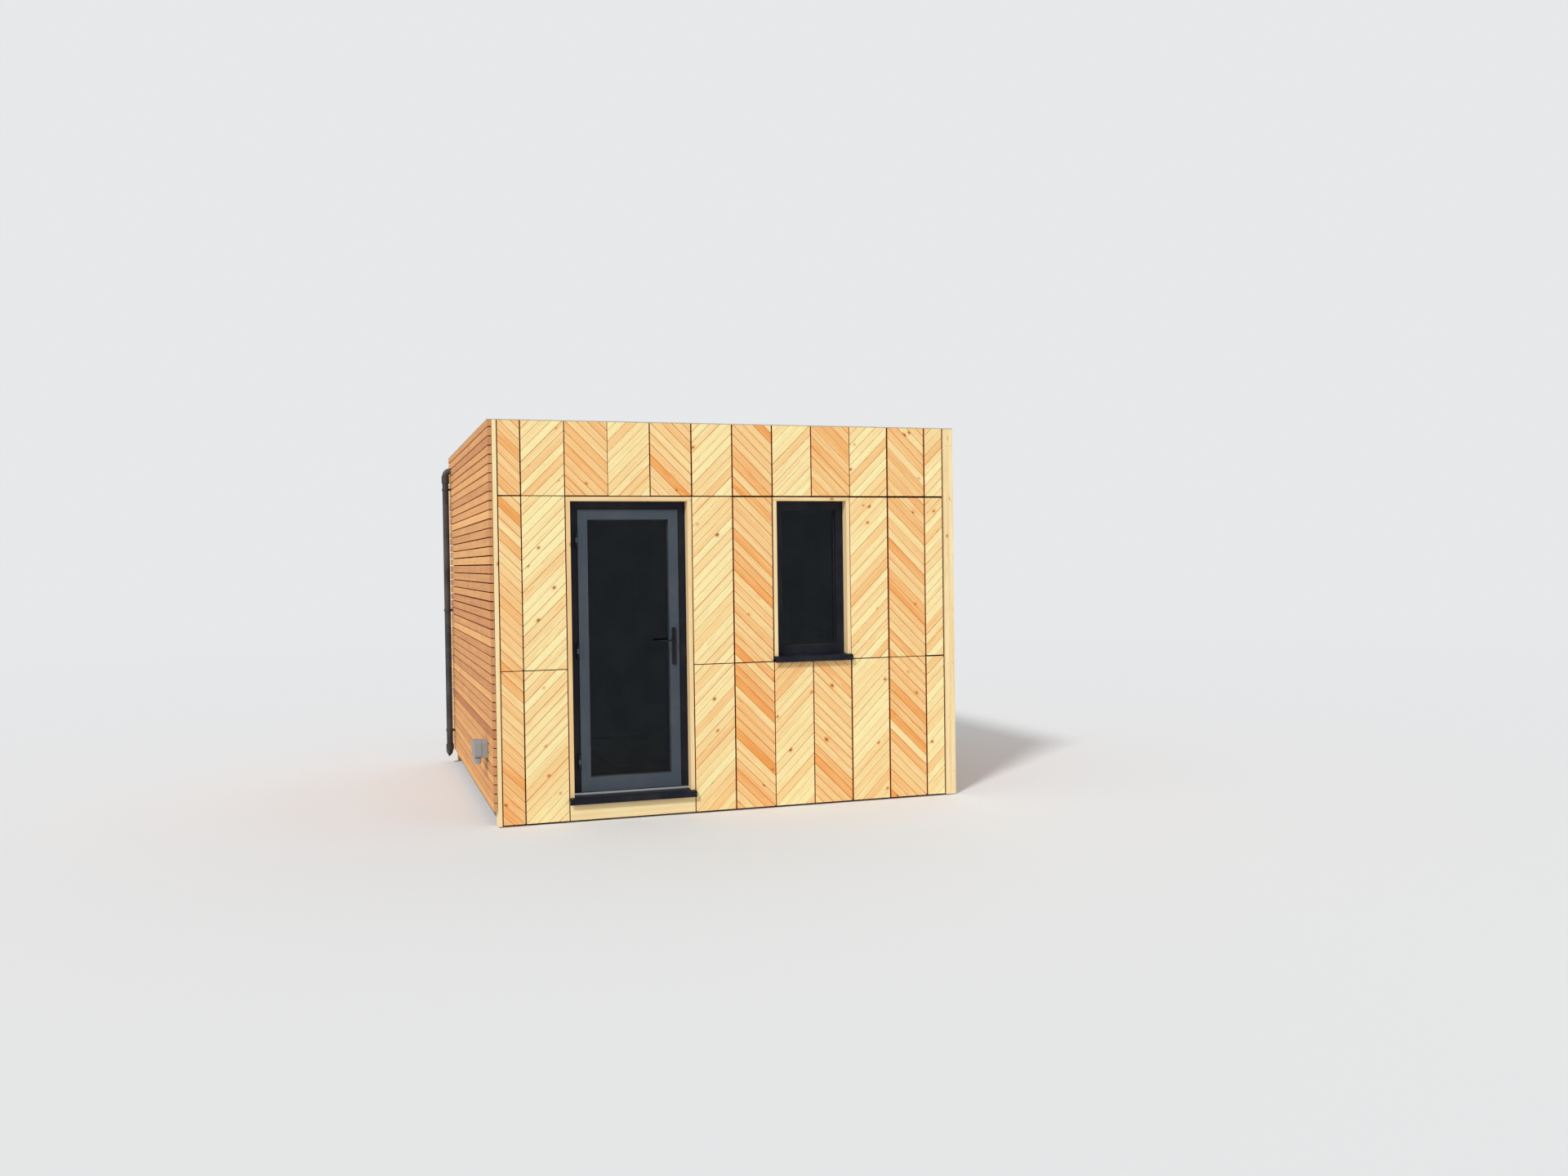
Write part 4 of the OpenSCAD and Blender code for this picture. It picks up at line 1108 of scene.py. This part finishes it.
# %% [markdown]
# ## Glazing
#
# A sealed unit is two panes of 4 mm with a spacer bar between them, set back from the edge. A black gasket
# seals the glass to the frame. The gasket ring is a block whose two faces are inset and bridged, which cuts
# the hole.

# %% Panes, spacer bars and gaskets
PANE_T, PANE_ARRIS = 0.004, 0.0004
SPACER_BACK, SPACER_WIDE = 0.004, 0.012
SEAL_UNDER, SEAL_WIDE, SEAL_T = 0.003, 0.008, 0.0035


def ring(name, outer, y0, y1, width):
    """Upright rectangular ring: the faces of a block are inset by the ring's width and bridged."""
    o = block(name, (outer[0], y0, outer[1]), (outer[2], y1, outer[3]))
    pick(o, "FACE", lambda f: abs(f.normal.y) > 0.9)
    bpy.ops.mesh.inset(thickness=width, use_individual=True)
    bpy.ops.mesh.bridge_edge_loops()
    bpy.ops.mesh.select_all(action="SELECT")
    bpy.ops.mesh.normals_make_consistent(inside=False)
    close()
    return o


def glazing(node, light, body):
    """Two panes, the spacer bar and the gaskets on both sides of one sealed unit."""
    low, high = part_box(node)
    front, back = low.y + PANE_T, high.y - PANE_T
    panes = [ease(block("pane", a, b), PANE_ARRIS, 40, 1)
             for a, b in ((low, (high.x, front, high.z)), ((low.x, back, low.z), high))]
    finish_piece(join(panes, node + "_panes"), body, clear_glass, [node])
    bar = ring(node + "_spacer_bar", grown(edges_of(node), -SPACER_BACK), front, back, SPACER_WIDE)
    finish_piece(ease(bar, 0.0006, 40, 1), body, spacer_metal)
    seals = [ease(ring("seal", grown(light, SEAL_UNDER), y, y + SEAL_T, SEAL_WIDE), 0.0012)
             for y in (low.y - SEAL_T, high.y)]
    finish_piece(join(seals, node + "_gaskets"), body, gasket_rubber)


glazing("door_glass", LIGHT, "door")
glazing("window_glass", PANE, "building")

# %% [markdown]
# ## The outdoor power outlet
#
# It is a moulded box with a deep hinged lid. The box and the lid are blocks with well rounded corners, the
# lid has a shallow panel pressed into its face, and a hinge barrel runs along its upper edge. Below the lid
# hangs a narrower skirt, open at its lower end, that keeps rain off a plugged-in cable. It is drawn in from a
# block, so a dark groove shows between the two. The panel is pressed before the corners are rounded, because
# a rim wider than a corner's radius would cross itself.

# %% Box, lid, skirt and hinge of the outlet
low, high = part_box("outdoor_socket")
BACK_D, BACK_INSET = 0.040, 0.004
SKIRT, SKIRT_INSET, GROOVE = 0.035, 0.008, 0.006
LID_RIM, LID_SUNK = 0.012, 0.003
BARREL_R, BARREL_LENGTH = 0.004, 0.15
box_face = high.x - BACK_D

back_box = block("back_box", (box_face - 0.001, low.y + BACK_INSET, low.z + SKIRT),
                 (high.x, high.y - BACK_INSET, high.z - BACK_INSET))
round_edges(back_box, runs_along(0), 0.006)

lid = block("lid", (low.x, low.y, low.z + SKIRT + GROOVE), (box_face, high.y, high.z - 0.001))
press(lid, looks_to(0, -1), LID_RIM, -LID_SUNK)
round_edges(lid, lambda e: runs_along(0)(e) and e.calc_length() < 0.01, 0.006)
round_edges(lid, lambda e: runs_along(0)(e) and e.calc_length() > 0.01, 0.010, 4)

skirt = block("skirt", (low.x + GROOVE, low.y + SKIRT_INSET, low.z),
              (box_face - 0.004, high.y - SKIRT_INSET, low.z + SKIRT))
round_edges(skirt, runs_along(2), 0.008)
press(skirt, looks_to(2, 1), 0.005, 0.008)
press(skirt, looks_to(2, -1), 0.003, -0.030)

barrel = rod("barrel", "Y", BARREL_R, BARREL_LENGTH,
             (box_face - 0.003, (low.y + high.y) / 2, high.z - BARREL_R), 24)
outlet = join([ease(back_box, 0.002), ease(lid, 0.0012), ease(skirt, 0.001), ease(barrel, 0.0005)],
              "outdoor_power_outlet")
finish_piece(outlet, "building", grey_plastic, ["outdoor_socket"])

# %% [markdown]
# ## Small fittings
#
# The lock cylinder is bright metal and stands proud of the plate. It is a short cylinder whose face is inset
# and pushed in for the key way. Screw heads sit in the trims, in line with the battens: one is made from a
# cylinder, with a bevelled rim and a sunk drive, and copied.

# %% Lock cylinder
SPINDLE_X, SPINDLE_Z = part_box("lever_handle")[1].x - 0.008, 1.115
LOCK_BELOW, LOCK_R, LOCK_LONG = 0.072, 0.0078, 0.006
plate_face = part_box("handle_plates")[0].y
lock_at = (SPINDLE_X, plate_face + 0.0031, SPINDLE_Z - LOCK_BELOW)
lock = rod("lock_cylinder", "Y", LOCK_R, LOCK_LONG, lock_at, 32)
press(lock, looks_to(1, -1), 0.0015, -0.0008)
finish_piece(ease(lock, 0.0004), "door", lock_metal)

# %% Screws in the trims
SCREW_R, SCREW_T, SCREW_RIM = 0.0035, 0.0016, 0.0018
SCREW_ROWS = (1.506, 1.541)
LOWEST_SCREW, SCREW_PITCH, SCREWS = 0.16, 0.37, 7
trim_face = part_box("front_corner_trims")[0].y
master = rod("screw_head", "Y", SCREW_R, SCREW_T, (0, 0, 0), 16)
press(master, looks_to(1, -1), SCREW_RIM, -SCREW_T / 2)
ease(master, 0.0003, 40, 1)
heads = [copy_of(master, "head", (x, trim_face + 0.0007, LOWEST_SCREW + i * SCREW_PITCH))
         for x in SCREW_ROWS for i in range(SCREWS)]
bpy.data.objects.remove(master)
finish_piece(join(heads, "trim_screws"), "building", screw_metal)

# %% [markdown]
# ## Finishes of the pieces that stay
#
# Walls, floor, ceiling, roof and membrane are plain sheets whose CAD solid is right as it is. Each gets its
# material in the slot of its own object.

# %% Materials on the CAD nodes that stay
for material, nodes in (
        (wall_layers, ("front_wall_left", "front_wall_over_door", "front_wall_middle",
                       "front_wall_window_bay", "front_wall_right", "left_wall", "right_wall", "back_wall")),
        (ceiling_paint, ("ceiling",)), (floor_boards, ("floor_deck",)), (membrane, ("roof_membrane",)),
        (sheathing, ("floor_cassette", "roof_cassette", "roof_kerb"))):
    for node in nodes:
        cad_nodes[node].data.materials.clear()
        cad_nodes[node].data.materials.append(material)
    print(material.name, "on", ", ".join(nodes))

# %% [markdown]
# ## Colour management
#
# The Standard view shows a colour as it is written.

# %% Finish
bpy.context.scene.view_settings.view_transform = "Standard"
